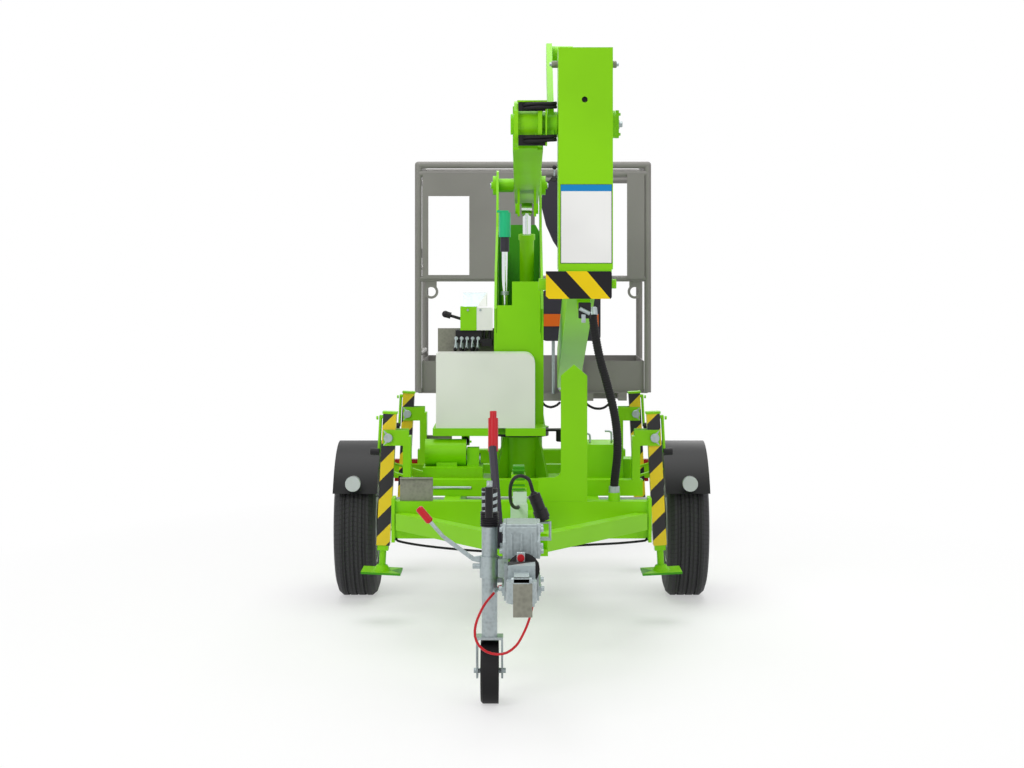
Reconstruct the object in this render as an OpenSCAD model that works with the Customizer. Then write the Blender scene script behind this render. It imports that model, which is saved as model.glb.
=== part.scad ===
// Towable boom lift in its towing position, in millimetres, +Z up.
// X runs to the right seen from the coupling, Y runs rearwards. Heights are above the ground.
// The modules measure Y from the axle, and place() moves them so that the origin is the middle of the footprint.

/* [Running gear] */
// Outer radius of the road tyres
tyre_r = 298; // [280:1:320]
// Width of the road tyres
tyre_w = 165; // [145:1:180]
// Distance between the middles of the two tyres
track = 1335; // [1300:1:1400]
// Outer radius of the wheel rims
rim_r = 178; // [165:1:190]
// Radius of the stub axles
stub_r = 17.5; // [14:0.5:20]
// Side of the square axle tube
axle_tube = 70; // [60:1:80]
// Gap between tyre and mudguard
guard_gap = 32; // [25:1:40]

/* [Chassis] */
// Height of the underside of the side rails
rail_z = 380; // [370:1:400]
// Height of the section of the side rails and beams
rail_h = 100; // [80:1:110]
// Width of the section of the side rails
rail_w = 60; // [50:1:70]
// Middle of each side rail from the centre line
rail_x = 260; // [230:1:280]
// Distance of the front beam from the axle
front_beam = 900; // [880:1:930]
// Distance of the leg beams from the axle
leg_y = 600; // [580:1:610]
// Half the length of the front and leg beams
beam_half = 460; // [440:1:470]
// Side of the square drawbar
drawbar = 80; // [70:1:90]
// Distance from the axle to the front end of the drawbar
drawbar_front = 2120; // [2080:1:2150]
// Height of the top of the slew pedestal
pedestal_top = 655; // [645:1:665]

/* [Coupling and jockey wheel] */
// Diameter of the ball socket
ball_d = 50.4; // [50.1:0.1:51]
// Distance from the axle to the middle of the ball socket
ball_y = 2380; // [2350:1:2400]
// Height of the middle of the ball socket
ball_z = 405; // [395:1:420]
// Distance from the axle to the jockey tube
jockey_y = 2010; // [1980:1:2030]
// Middle of the jockey tube from the centre line, to the left
jockey_x = 98; // [92:1:105]
// Diameter of the jockey tube
jockey_d = 48; // [46:1:50]
// Wall of the jockey tube
jockey_wall = 3.5; // [3:0.5:4]
// Outer radius of the jockey wheel
jockey_r = 100; // [90:1:110]
// Width of the jockey wheel
jockey_w = 55; // [45:1:60]
// Trail of the jockey wheel behind its tube
jockey_trail = 45; // [35:1:55]

/* [Legs] */
// Side of the square outer tube of each leg
leg_w = 50; // [46:1:54]
// Wall of the outer tube of each leg
leg_wall = 4; // [3:0.5:5]
// Height of the top of the legs
leg_top = 790; // [780:1:795]
// Length of the outer tube of each leg
leg_len = 500; // [470:1:510]
// Height of the hinge pins of the legs
leg_pin_z = 700; // [690:1:710]
// Middle of each leg's pin from the centre line
leg_x = 505; // [500:1:515]
// Lean of the stowed legs, outwards at the foot
leg_lean = 3; // [2:0.5:4]
// Width of the square foot pads
pad_w = 150; // [130:1:160]

/* [Turret] */
// Radius of the slew ring
slew_r = 112; // [105:1:120]
// Height of each half of the slew ring
slew_h = 18; // [15:1:20]
// Thickness of the platform plate
platform_t = 30; // [25:1:35]
// Clear width between the column's plates at the riser
column_in = 178; // [174:1:184]
// Thickness of the column's plates
column_t = 10; // [8:1:12]
// Distance from the axle back to the riser pin
riser_pin_y = 550; // [540:1:560]
// Height of the riser pin
riser_pin_z = 1710; // [1700:1:1720]

/* [Booms] */
// Width of the riser tube
riser_w = 104; // [98:1:110]
// Depth of the riser tube
riser_d = 150; // [140:1:160]
// Distance between the riser's two pins
riser_len = 1954; // [1940:1:1970]
// Rise of the stowed riser above level, towards its front end
riser_rise = 3.5; // [3:0.1:4]
// Wall of the riser and boom tubes
boom_wall = 6; // [5:0.5:8]
// Middle of the upper boom from the centre line
boom_x = 214; // [210:1:218]
// Width of the upper boom tube
boom_w = 100; // [96:1:106]
// Depth of the upper boom tube
boom_d = 180; // [170:1:188]
// Slope of the stowed upper boom, down to the rear
boom_slope = 13.4; // [13:0.1:14]
// Length of the upper boom tube
boom_len = 2400; // [2350:1:2420]
// Width of the tall heel box
heel_w = 182; // [176:1:186]
// Depth of the tall heel box
heel_d = 170; // [150:1:180]
// Radius of the cross tube at the boom pivot
hub_r = 43; // [40:1:46]
// Distance of the upper cylinder pin above the boom pivot
luff_arm = 203; // [200:1:206]
// Radius of the cylinder pins
pin_r = 12; // [10:0.5:14]
// Outer radius of the cylinder barrels
barrel_r = 30; // [26:1:34]
// Outer radius of the luff cylinder's barrel
luff_r = 27; // [25:1:30]
// Radius of the cylinder rods
rod_r = 17; // [14:1:19]

/* [Cage] */
// Width of the cage
cage_w = 1100; // [1050:1:1120]
// Depth of the cage, front to back
cage_d = 650; // [600:1:680]
// Middle of the cage from the centre line
cage_x = 55; // [40:1:70]
// Distance from the axle to the front of the cage
cage_y = 1265; // [1255:1:1280]
// Height of the cage floor
cage_floor = 750; // [745:1:760]
// Height of the cage from its floor to the middle of the top rail
cage_h = 1090; // [1050:1:1100]
// Diameter of the cage rails
rail_d = 33; // [30:1:36]
// Height of the toe boards
toe_h = 150; // [120:1:170]

/* [Clearances] */
// Running gap between pieces that move on each other
fit = 0.3; // [0.2:0.05:0.4]
// Radial clearance of a pin in its bore
bore_fit = 0.1; // [0.05:0.01:0.1]

/* [Hidden] */
$fn = 48;
front_y = -(ball_y + 70);
rear_y = cage_y + cage_d + rail_d / 2;
mid_y = (front_y + rear_y) / 2;
beam_top = rail_z + rail_h;
platform_z = pedestal_top + 2 * slew_h + fit;
deck_z = platform_z + platform_t;
knuckle_y = riser_pin_y - riser_len * cos(riser_rise);
knuckle_z = riser_pin_z + riser_len * sin(riser_rise);
// The riser runs between the spacer on the left and the right plate
column_l = -100;
column_r = column_l + column_in;
riser_x = column_r - riser_w / 2 - 4;
luff_pin_z = knuckle_z + luff_arm;
// Base of the luff cylinder on the knuckle's arm, from the boom pivot
luff_base = [420, 280];
// Base of the riser cylinder on the column's foot, and its eye under the riser
riser_base = [190, 860];
riser_eye = [80, riser_pin_z - 118];
// Gap between a barrel's side and the lugs that carry its foot
foot_gap = 2;
// Half the gap between the knuckle's fork plates
fork_in = 33;
// Lower edge of the mudguards above the axle
guard_low = 150;
heel_top = luff_pin_z + 47;
heel_bottom = 1338;
heel_front = knuckle_y - 95;
cage_pin = [1085, 800];
tube_start = 20;
telescope_w = boom_w - 2 * boom_wall - 2 * fit;
telescope_d = boom_d - 2 * boom_wall - 2 * fit;

green = "#6cc400";
dark_green = "#1c7a00";
steel = "#a9b4b6";
grey = "#8f8d88";
black = "#1a181c";
chrome = "#d8dcde";

leg_corners = [[-1, -1, "leg_front_left"], [1, -1, "leg_front_right"],
               [-1, 1, "leg_rear_left"], [1, 1, "leg_rear_right"]];

module place() { translate([0, -mid_y, 0]) children(); }

// Box between two corners given as ranges along X, Y and Z
module block(x, y, z) {
    translate([x[0], y[0], z[0]]) cube([x[1] - x[0], y[1] - y[0], z[1] - z[0]]);
}

module rod_x(r, x, y, z) { translate([x[0], y, z]) rotate([0, 90, 0]) cylinder(r = r, h = x[1] - x[0]); }
module rod_y(r, x, y, z) { translate([x, y[0], z]) rotate([-90, 0, 0]) cylinder(r = r, h = y[1] - y[0]); }
module rod_z(r, x, y, z) { translate([x, y, z[0]]) cylinder(r = r, h = z[1] - z[0]); }

// Round bar between two points
module bar(p, q, r) {
    v = q - p;
    len = norm(v);
    translate(p) rotate([0, acos(v.z / len), atan2(v.y, v.x)]) cylinder(r = r, h = len);
}

// Square tube or bar between two points, w across and d high
module beam(p, q, w, d) {
    v = q - p;
    len = norm(v);
    translate(p) rotate([0, 0, atan2(v.y, v.x)]) rotate([0, -asin(v.z / len), 0])
        translate([0, -w / 2, -d / 2]) cube([len, w, d]);
}

// Local frame on a line in the side view: X stays, local Z runs along the line
module along(x, p, q) {
    translate([x, p[0], p[1]]) rotate([-atan2(q[0] - p[0], q[1] - p[1]), 0, 0]) children();
}

// Plate in the side view, from points [Y, Z], between two X values
module side_plate(x, pts) {
    translate([x[0], 0, 0]) rotate([90, 0, 90]) linear_extrude(x[1] - x[0]) polygon(pts);
}

// Plate in the front view, from points [X, Z], between two Y values
module front_plate(y, pts) {
    translate([0, y[1], 0]) rotate([90, 0, 0]) linear_extrude(y[1] - y[0]) polygon(pts);
}

// Rounded rectangle of size s and corner radius r, centred
module round_rect(s, r) {
    union() {
        square([s.x - 2 * r, s.y], center = true);
        square([s.x, s.y - 2 * r], center = true);
        for (i = [-1, 1], j = [-1, 1])
            translate([i * (s.x / 2 - r), j * (s.y / 2 - r)]) circle(r);
    }
}

module side_rails() {
    color(green) for (s = [-1, 1])
        difference() {
            block([s * rail_x - rail_w / 2, s * rail_x + rail_w / 2],
                  [-front_beam + rail_w / 2, leg_y + 120], [rail_z, beam_top]);
            block([s * rail_x - rail_w / 2 + 5, s * rail_x + rail_w / 2 - 5],
                  [leg_y + 20, leg_y + 121], [rail_z + 5, beam_top - 5]);
        }
}

module cross_beams() {
    color(green) {
        // Front beam with its end plates, as high as the drawbar's joint
        block([-beam_half, beam_half], [-front_beam - rail_w / 2, -front_beam + rail_w / 2], [rail_z - 20, beam_top + 15]);
        for (s = [-1, 1])
            block([s * (beam_half + 6) - 6, s * (beam_half + 6) + 6],
                  [-front_beam - 48, -front_beam + 48], [rail_z - 32, beam_top + 27]);
        // Socket of the conduit
        rod_z(22, 338, -905, [beam_top + 15, 525]);
        // Leg beams pass over the side rails
        for (s = [-1, 1])
            block([-beam_half, beam_half], [s * leg_y - 35, s * leg_y + 35], [beam_top, beam_top + 60]);
        // Rear lamp beam
        block([-beam_half - 120, beam_half + 120], [leg_y + 120, leg_y + 160], [rail_z + 20, rail_z + 80]);
    }
}

// Level tube between two points in plan, w across, over a height range
module level_tube(p, q, w, z) {
    n = [p.y - q.y, q.x - p.x] / norm(q - p) * w / 2;
    translate([0, 0, z[0]]) linear_extrude(z[1] - z[0]) polygon([p - n, q - n, q + n, p + n]);
}

module a_frame() {
    color(green) for (s = [-1, 1]) {
        level_tube([s * (drawbar / 2 + 26), -drawbar_front + 640],
                   [s * (beam_half - 25), -front_beam - rail_w / 2 - 16], 50, [rail_z + 15, rail_z + 75]);
        // Foot plate bolted to the drawbar
        block([s * (drawbar / 2 + 24) - 24, s * (drawbar / 2 + 24) + 24],
              [-drawbar_front + 600, -drawbar_front + 690], [rail_z + 5, rail_z + 25]);
    }
}

module drawbar_beam() {
    color(green) difference() {
        union() {
            block([-drawbar / 2, drawbar / 2], [-drawbar_front, -front_beam - rail_w / 2], [rail_z + 5, rail_z + 5 + drawbar]);
            // Stacked hose bracket and pale toolbox on the bar
            block([-38, 22], [-1240, -1060], [beam_top - 15, beam_top + 42]);
            block([-30, 18], [-1200, -1080], [beam_top + 42, beam_top + 82]);
        }
        block([-drawbar / 2 + 5, drawbar / 2 - 5], [-drawbar_front - 1, -drawbar_front + 300], [rail_z + 10, rail_z + drawbar]);
    }
}

module axle_beam() {
    x_in = track / 2 - tyre_w / 2 - 30;
    color(steel) {
        block([-x_in, x_in], [90, 90 + axle_tube], [rail_z - axle_tube, rail_z]);
        for (s = [-1, 1]) {
            // Trailing arm from the tube to the stub
            difference() {
                hull() {
                    rod_x(42, [s > 0 ? x_in : -x_in - 22, s > 0 ? x_in + 22 : -x_in], 125, rail_z - axle_tube / 2);
                    rod_x(36, [s > 0 ? x_in : -x_in - 22, s > 0 ? x_in + 22 : -x_in], 0, tyre_r);
                }
                rod_x(stub_r + 2, [s > 0 ? x_in - 1 : -x_in - 23, s > 0 ? x_in + 23 : -x_in + 1], 0, tyre_r);
            }
            rod_x(stub_r + 2, [s > 0 ? x_in : -x_in - 22, s > 0 ? x_in + 22 : -x_in], 0, tyre_r);
            // Brake back plate and stub axle
            rod_x(105, [s > 0 ? x_in + 22 : -x_in - 28, s > 0 ? x_in + 28 : -x_in - 22], 0, tyre_r);
            rod_x(stub_r, [s > 0 ? x_in + 28 : -x_in - 110, s > 0 ? x_in + 110 : -x_in - 28], 0, tyre_r);
        }
    }
}

module coupling() {
    color(steel) difference() {
        union() {
            // Overrun housing bolted under the drawbar's front end
            block([-58, 58], [-drawbar_front - 10, -drawbar_front + 270], [rail_z - 22, rail_z + 5]);
            block([-52, 52], [-drawbar_front - 90, -drawbar_front - 10], [rail_z - 22, rail_z + 80]);
            rod_y(25, 0, [-ball_y + 30, -drawbar_front - 90], ball_z);
            // Head with its round nose and the handle over it
            hull() {
                translate([0, -ball_y, ball_z - 22]) cylinder(r = 44, h = 60);
                block([-36, 36], [-ball_y + 60, -ball_y + 110], [ball_z - 30, ball_z + 40]);
            }
            rod_z(44, 0, -ball_y, [ball_z - 22, ball_z + 38]);
            block([-40, 40], [-ball_y + 46, -ball_y + 120], [ball_z + 38, ball_z + 76]);
            block([-22, 22], [front_y, -ball_y + 46], [ball_z + 42, ball_z + 58]);
        }
        translate([0, -ball_y, ball_z]) sphere(d = ball_d);
        rod_z(ball_d / 2, 0, -ball_y, [ball_z - 40, ball_z]);
    }
    color(black) for (k = [0 : 4])
        rod_y(k % 2 == 0 ? 46 : 38, 0, [-drawbar_front - 90 - 16 * (k + 1), -drawbar_front - 90 - 16 * k], ball_z);
}

module handbrake_lever() {
    p = [-92, -drawbar_front + 180];
    color(black) {
        block([p.x - 8, p.x + 16], [p.y - 26, p.y + 26], [rail_z + 5, rail_z + 30]);
        block([p.x - 4, p.x + 8], [p.y - 16, p.y + 16], [rail_z + 30, rail_z + 84]);
        block([p.x + 16, -58], [p.y - 20, p.y + 20], [rail_z - 10, rail_z + 5]);
        block([p.x - 8, p.x + 16], [p.y - 20, p.y + 20], [rail_z - 10, rail_z + 5]);
        beam([p.x + 2, p.y, rail_z + 70], [p.x + 2, p.y + 120, 770], 10, 30);
        bar([p.x + 2, p.y + 118, 762], [p.x + 2, p.y + 142, 865], 16);
    }
    color("#c8202a") bar([p.x + 2, p.y + 142, 865], [p.x + 2, p.y + 147, 887], 11);
}

module mudguards() {
    r = tyre_r + guard_gap;
    w = tyre_w + 10;
    color(black) for (s = [-1, 1]) {
        // Curved shell over the tyre
        intersection() {
            difference() {
                rod_x(r + 4, [s * track / 2 - w / 2 - (s > 0 ? 5 : -5), s * track / 2 + w / 2 - (s > 0 ? 5 : -5)], 0, tyre_r);
                rod_x(r, [s * track / 2 - w / 2 - 20, s * track / 2 + w / 2 + 20], 0, tyre_r);
            }
            block([s * track / 2 - w, s * track / 2 + w], [-r - 10, r + 10], [tyre_r + guard_low, tyre_r + r + 10]);
        }
        // Inner flange and the stays to the leg posts' side
        intersection() {
            difference() {
                rod_x(r + 4, [s * (track / 2 - w / 2 - 5) - 2, s * (track / 2 - w / 2 - 5) + 2], 0, tyre_r);
                rod_x(r - 40, [s * (track / 2 - w / 2 - 5) - 3, s * (track / 2 - w / 2 - 5) + 3], 0, tyre_r);
            }
            block([s * track / 2 - w, s * track / 2 + w], [-r - 10, r + 10], [tyre_r + guard_low, tyre_r + r + 10]);
        }
        for (t = [-1, 1])
            beam([s * (rail_x + rail_w / 2 + 1.5), t * 150, beam_top - 30],
                 [s * (track / 2 - w / 2 - 7), t * 150, tyre_r + 235], 30, 8);
    }
}

module lamps() {
    r = tyre_r + guard_gap;
    // Clear front markers on the front edge of each mudguard
    color("#e8ecec") for (s = [-1, 1]) {
        rod_y(30, s * track / 2, [-r, -r + 30], tyre_r + 192);
        block([s * track / 2 - 15, s * track / 2 + 15], [-r + 30, -sqrt(pow(r + 4, 2) - pow(187, 2))],
              [tyre_r + 187, tyre_r + 199]);
    }
    // Rear lamp clusters on the lamp beam
    color("#c8202a") for (s = [-1, 1])
        block([s * 500 - 75, s * 500 + 75], [leg_y + 160, leg_y + 200], [rail_z, rail_z + 100]);
}

module boom_rest() {
    x = 191;
    color(green) {
        block([x - 25, x + 25], [-front_beam - 25, -front_beam + 25], [beam_top + 15, 965]);
        side_plate([x - 48, x + 48], [[-front_beam - 30, 950], [-front_beam + 30, 950],
                   [-front_beam + 30, 960], [-front_beam, 993], [-front_beam - 30, 960]]);
        block([x - 130, x - 25], [-front_beam - 20, -front_beam + 20], [beam_top + 15, beam_top + 85]);
    }
}

module slew_pedestal() {
    color(dark_green) {
        difference() {
            block([-rail_x + rail_w / 2, rail_x - rail_w / 2], [-160, 160], [beam_top - 60, beam_top]);
            block([-rail_x + rail_w / 2 + 12, rail_x - rail_w / 2 - 12], [-148, 148], [beam_top - 61, beam_top - 12]);
        }
        rod_z(85, 0, 0, [beam_top, pedestal_top]);
        for (a = [45 : 90 : 315]) rotate([0, 0, a])
            rotate([90, 0, 0]) translate([0, 0, -5]) linear_extrude(10)
                polygon([[80, beam_top], [155, beam_top], [100, pedestal_top], [80, pedestal_top]]);
    }
    color(black) rod_z(slew_r, 0, 0, [pedestal_top, pedestal_top + slew_h]);
}

module pump_unit() {
    y = [-520, -330];
    color(dark_green) {
        block([-380, -150], y, [beam_top, beam_top + 95]);
        rod_x(52, [-375, -215], -425, beam_top + 95 + 50);
        block([-330, -250], [-470, -380], [beam_top + 90, beam_top + 110]);
        block([-212, -165], [-450, -400], [beam_top + 90, beam_top + 165]);
    }
    color(steel) rod_x(21, [-215, -160], -425, beam_top + 120);
}

module battery_boxes() {
    color(green) {
        block([235, 415], [-540, -200], [beam_top, beam_top + 40]);
        translate([320, -370, beam_top + 40]) rotate([90, 0, 0]) translate([0, 70, -110])
            linear_extrude(220) round_rect([150, 140], 18);
        block([398, 440], [-440, -330], [beam_top + 40, beam_top + 120]);
    }
}

module leg_posts() {
    inner = beam_half;
    color(green) for (c = leg_corners) {
        s = c[0];
        y = c[1] * leg_y;
        // Upright on the leg beam's end, with the hinge pin standing out of it
        block([s * (inner - 25) - 15, s * (inner - 25) + 15], [y - 35, y + 35], [beam_top + 60, leg_pin_z + 5]);
        for (t = [-1, 1])
            block([min(s * (inner - 30), s * (leg_x + 20)), max(s * (inner - 30), s * (leg_x + 20))],
                  [y + t * (leg_w / 2 + 6) - 4, y + t * (leg_w / 2 + 6) + 4], [leg_pin_z - 30, leg_pin_z + 30]);
    }
    color(steel) for (c = leg_corners)
        rod_y(pin_r, c[0] * leg_x, [c[1] * leg_y - leg_w / 2 - 18, c[1] * leg_y + leg_w / 2 + 18], leg_pin_z);
}

module jockey_tube() {
    color(steel) {
        difference() {
            rod_z(jockey_d / 2 + 6, -jockey_x, -jockey_y, [rail_z + 15, rail_z + 80]);
            rod_z(jockey_d / 2 - jockey_wall, -jockey_x, -jockey_y, [rail_z, rail_z + 81]);
        }
        block([-jockey_x + jockey_d / 2 + 2, -drawbar / 2], [-jockey_y - 30, -jockey_y + 30], [rail_z + 20, rail_z + 75]);
        difference() {
            rod_z(jockey_d / 2, -jockey_x, -jockey_y, [260, 660]);
            rod_z(jockey_d / 2 - jockey_wall, -jockey_x, -jockey_y, [259, 650]);
        }
        // Winding handle folded down beside the tube
        rod_z(9, -jockey_x, -jockey_y, [660, 690]);
        bar([-jockey_x, -jockey_y, 682], [-jockey_x, -jockey_y - 100, 682], 7);
    }
    color(black) rod_z(12, -jockey_x, -jockey_y - 95, [590, 682]);
}

module jockey_fork() {
    axle_z = jockey_r;
    color(steel) {
        rod_z(jockey_d / 2 - jockey_wall - fit, -jockey_x, -jockey_y, [215, 640]);
        rod_z(jockey_d / 2, -jockey_x, -jockey_y, [207, 260 - fit]);
        block([-jockey_x - jockey_w / 2 - 14, -jockey_x + jockey_w / 2 + 14], [-jockey_y - 26, -jockey_y + 40], [207, 215]);
        for (s = [-1, 1])
            side_plate([-jockey_x + s * (jockey_w / 2 + 11) - 3, -jockey_x + s * (jockey_w / 2 + 11) + 3],
                       [[-jockey_y - 26, 215], [-jockey_y + jockey_trail - 22, axle_z - 20],
                        [-jockey_y + jockey_trail + 22, axle_z - 20], [-jockey_y + 40, 215]]);
        rod_x(8, [-jockey_x - jockey_w / 2 - 22, -jockey_x + jockey_w / 2 + 22], -jockey_y + jockey_trail, axle_z);
    }
}

module jockey_wheel() {
    color(black) translate([-jockey_x, -jockey_y + jockey_trail, jockey_r]) rotate([0, 90, 0])
        rotate_extrude() difference() {
            translate([8 + bore_fit, -jockey_w / 2]) square([jockey_r - 8 - bore_fit, jockey_w]);
            translate([jockey_r - 8, -jockey_w / 2 - 1]) rotate(-45) square([30, 12]);
            translate([30, jockey_w / 2 - 10]) square([38, 11]);
            translate([30, -jockey_w / 2 - 1]) square([38, 11]);
        }
}

module plug_holder() {
    // Wire loop on the drawbar with the socket's plug parked in it
    color(steel) {
        for (x = [28, 92]) rod_z(4, x, -1700, [rail_z + 5 + drawbar, 525]);
        bar([28, -1700, 521], [92, -1700, 521], 4);
        block([24, 96], [-1716, -1684], [rail_z + 85, rail_z + 93]);
    }
    color(black) bar([40, -1700, 612], [72, -1700, 527], 20);
}

module tyre(s) {
    bead = rim_r - 14;
    color(black) translate([s * track / 2, 0, tyre_r]) rotate([0, 90, 0]) rotate_extrude($fn = 64) {
        difference() {
            translate([bead, -tyre_w / 2]) square([tyre_r - bead, tyre_w]);
            // Shoulders, the narrower bead and three grooves round the tread
            for (t = [-1, 1]) {
                polygon([[tyre_r + 1, t * (tyre_w / 2 - 26)], [tyre_r + 1, t * (tyre_w / 2 + 1)],
                         [tyre_r - 40, t * (tyre_w / 2 + 1)], [tyre_r - 14, t * (tyre_w / 2 - 8)]]);
                polygon([[bead - 1, t * (tyre_w / 2 - 18)], [bead - 1, t * (tyre_w / 2 + 1)],
                         [bead + 55, t * (tyre_w / 2 + 1)]]);
            }
            for (g = [-34, 0, 34]) translate([tyre_r - 6, g - 4]) square([8, 8]);
        }
    }
}

module rim(s) {
    bead = rim_r - 14;
    hub = 0.45 * rim_r;
    color(steel) translate([s * track / 2, 0, tyre_r]) rotate([0, s * 90, 0]) difference() {
        union() {
            rotate_extrude($fn = 64) {
                // Barrel with its two flanges
                translate([bead - 8, -tyre_w / 2 + 16]) square([8, tyre_w - 32]);
                for (t = [-1, 1]) translate([bead - 8, t * (tyre_w / 2 - 14) - 3]) square([10, 6]);
                // Dished wheel disc
                polygon([[stub_r + 30, 20], [hub, 26], [hub + 24, 44], [bead - 4, 30], [bead - 4, 22],
                         [hub + 24, 36], [hub + 4, 18], [stub_r + 30, 12]]);
            }
            // Brake drum and hub with its grease cap
            translate([0, 0, -tyre_w / 2 + 5]) cylinder(r = 100, h = tyre_w / 2 + 7);
            cylinder(r = 50, h = 30);
            cylinder(r = 28, h = 58);
        }
        translate([0, 0, -tyre_w / 2 - 30]) cylinder(r = stub_r + bore_fit, h = tyre_w / 2 + 60);
        translate([0, 0, -tyre_w / 2 + 4]) cylinder(r = 88, h = 50);
        for (a = [0 : 36 : 324]) rotate([0, 0, a]) translate([hub + 42, 0, 0]) cylinder(r = 9, h = 60);
    }
}

// Outline of one column plate, leaning back to the riser pin
function column_outline() = [
    [-240, deck_z], [330, deck_z], [riser_pin_y + 78, riser_pin_z - 60], [riser_pin_y + 62, riser_pin_z + 42],
    [riser_pin_y + 20, riser_pin_z + 66], [riser_pin_y - 40, riser_pin_z + 58],
    [riser_pin_y - 190, riser_pin_z - 190], [-60, 1330], [-215, 1180], [-240, 1020]];

module column_plate(x) {
    difference() {
        side_plate(x, column_outline());
        rod_x(38, [x[0] - 1, x[1] + 1], 380, 1420);
        rod_x(38, [x[0] - 1, x[1] + 1], 330, 1250);
    }
}

module turret_frame() {
    color(green) {
        difference() {
            union() {
                column_plate([column_l - column_t, column_l]);
                column_plate([column_r, column_r + column_t]);
                // Front and rear closing plates, and the low cross plates
                block([column_l, column_r], [-240, -230], [deck_z, 1085]);
                block([column_l, column_r], [300, 310], [deck_z, deck_z + 180]);
                // Spacer tube and the outer ears round the riser pin
                rod_x(30, [column_l, riser_x - riser_w / 2 - 4], riser_pin_y, riser_pin_z);
                for (x = [[column_l - 26, column_l - column_t], [column_r + column_t, column_r + 28]])
                    rod_x(42, x, riser_pin_y, riser_pin_z);
                // Lugs of the riser cylinder's foot
                for (s = [-1, 1])
                    side_plate([riser_x + s * (barrel_r + foot_gap + 5) - 5, riser_x + s * (barrel_r + foot_gap + 5) + 5],
                               [[riser_base[0] - 70, deck_z], [riser_base[0] + 70, deck_z],
                                [riser_base[0] + 32, riser_base[1] + 34], [riser_base[0] - 32, riser_base[1] + 34]]);
            }
            rod_x(pin_r + 4, [column_l - 40, column_r + 40], riser_pin_y, riser_pin_z);
            rod_x(pin_r, [riser_x - 70, riser_x + 55], riser_base[0], riser_base[1]);
        }
        rod_x(pin_r + 4, [column_l - 34, column_r + 36], riser_pin_y, riser_pin_z);
        rod_x(pin_r, [riser_x - barrel_r - foot_gap - 14, riser_x + barrel_r + foot_gap + 14], riser_base[0], riser_base[1]);
    }
    color(dark_green) {
        difference() {
            block([-345, column_r + column_t + 6], [-460, 340], [platform_z, deck_z]);
            block([-98, -62], [-461, -380], [platform_z - 1, deck_z + 1]);
        }
    }
    color(black) rod_z(slew_r, 0, 0, [pedestal_top + slew_h + fit, platform_z]);
}

module moulded_cover() {
    color("#e8e8e4") difference() {
        translate([-140, -452, deck_z]) rotate([-90, 0, 0]) linear_extrude(200) translate([0, -145])
            union() {
                round_rect([385, 290], 40);
                translate([-192.5, 0]) square([385, 145]);
                translate([-192.5, -145]) square([200, 100]);
            }
        translate([-140, -446, deck_z]) rotate([-90, 0, 0]) linear_extrude(190) translate([0, -142])
            union() {
                round_rect([373, 280], 36);
                translate([-186.5, 0]) square([373, 143]);
            }
    }
}

module control_bank() {
    color(dark_green) block([-245, -180], [-235, -130], [1095, 1190]);
    color(steel) {
        side_plate([-235, -140], [[-235, 1190], [-130, 1190], [-130, 1245], [-175, 1245]]);
        block([-180, -116], [-232, -224], [1095, 1185]);
        block([-340, column_l - column_t], [-120, -112], [deck_z, 1100]);
    }
    color(black) {
        block([-265, -160], [-215, -112], [1045, 1095]);
        for (x = [-150, -128]) rod_z(5, x, -200, [1040, 1100]);
        block([-160, -118], [-215, -112], [1030, 1060]);
        bar([-245, -180, 1140], [-285, -180, 1152], 6);
        bar([-285, -180, 1152], [-305, -180, 1158], 13);
    }
}

module hand_pump() {
    x = column_l + 32;
    color("#17a56b") rod_z(24, x, -120, [1470, 1570]);
    color(grey) rod_z(18, x, -120, [1410, 1470]);
    color(chrome) rod_z(12, x, -120, [1190, 1410]);
    color(steel) {
        rod_z(17, x, -120, [1235, 1250]);
        block([column_l, x + 16], [-140, -100], [1180, 1190]);
        block([column_l, x + 16], [-140, -100], [1570, 1578]);
    }
}

// Height of the riser's underside at a place along Y
function riser_under(y) = riser_pin_z + (riser_pin_y - y) * tan(riser_rise) - riser_d / 2 / cos(riser_rise);

module riser() {
    lip = 70;
    head_w = 2 * (fork_in - fit);
    color(green) along(riser_x, [riser_pin_y, riser_pin_z], [knuckle_y, knuckle_z]) {
        difference() {
            union() {
                difference() {
                    translate([-riser_w / 2, -riser_d / 2, -lip]) cube([riser_w, riser_d, riser_len + lip - 90]);
                    translate([-riser_w / 2 + boom_wall, -riser_d / 2 + boom_wall, -lip - 1])
                        cube([riser_w - 2 * boom_wall, riser_d - 2 * boom_wall, riser_len + lip - 110]);
                }
                // Solid bosses for the two pins
                rotate([0, 90, 0]) cylinder(r = 40, h = riser_w, center = true);
                translate([-head_w / 2, -riser_d / 2, riser_len - 90]) cube([head_w, riser_d, 40]);
                translate([0, 0, riser_len]) rotate([0, 90, 0]) cylinder(r = 52, h = head_w, center = true);
                translate([-head_w / 2, -45, riser_len - 60]) cube([head_w, 90, 60]);
            }
            rotate([0, 90, 0]) cylinder(r = pin_r + 4 + bore_fit, h = riser_w + 2, center = true);
            translate([0, 0, riser_len]) rotate([0, 90, 0])
                cylinder(r = hub_r - 8 + bore_fit, h = riser_w + 2, center = true);
        }
    }
    // Lugs for the lift cylinder's rod eye, with the pin's caps outside them
    color(green) for (s = [-1, 1]) {
        x = riser_x + s * 34;
        side_plate([x - 5, x + 5],
                   [[riser_eye[0] - 90, riser_under(riser_eye[0] - 90) + boom_wall],
                    [riser_eye[0] + 90, riser_under(riser_eye[0] + 90) + boom_wall],
                    [riser_eye[0] + 34, riser_eye[1] - 32], [riser_eye[0] - 34, riser_eye[1] - 32]]);
        rod_x(22, [s > 0 ? x + 5 : x - 14, s > 0 ? x + 14 : x - 5], riser_eye[0], riser_eye[1]);
    }
}

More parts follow.
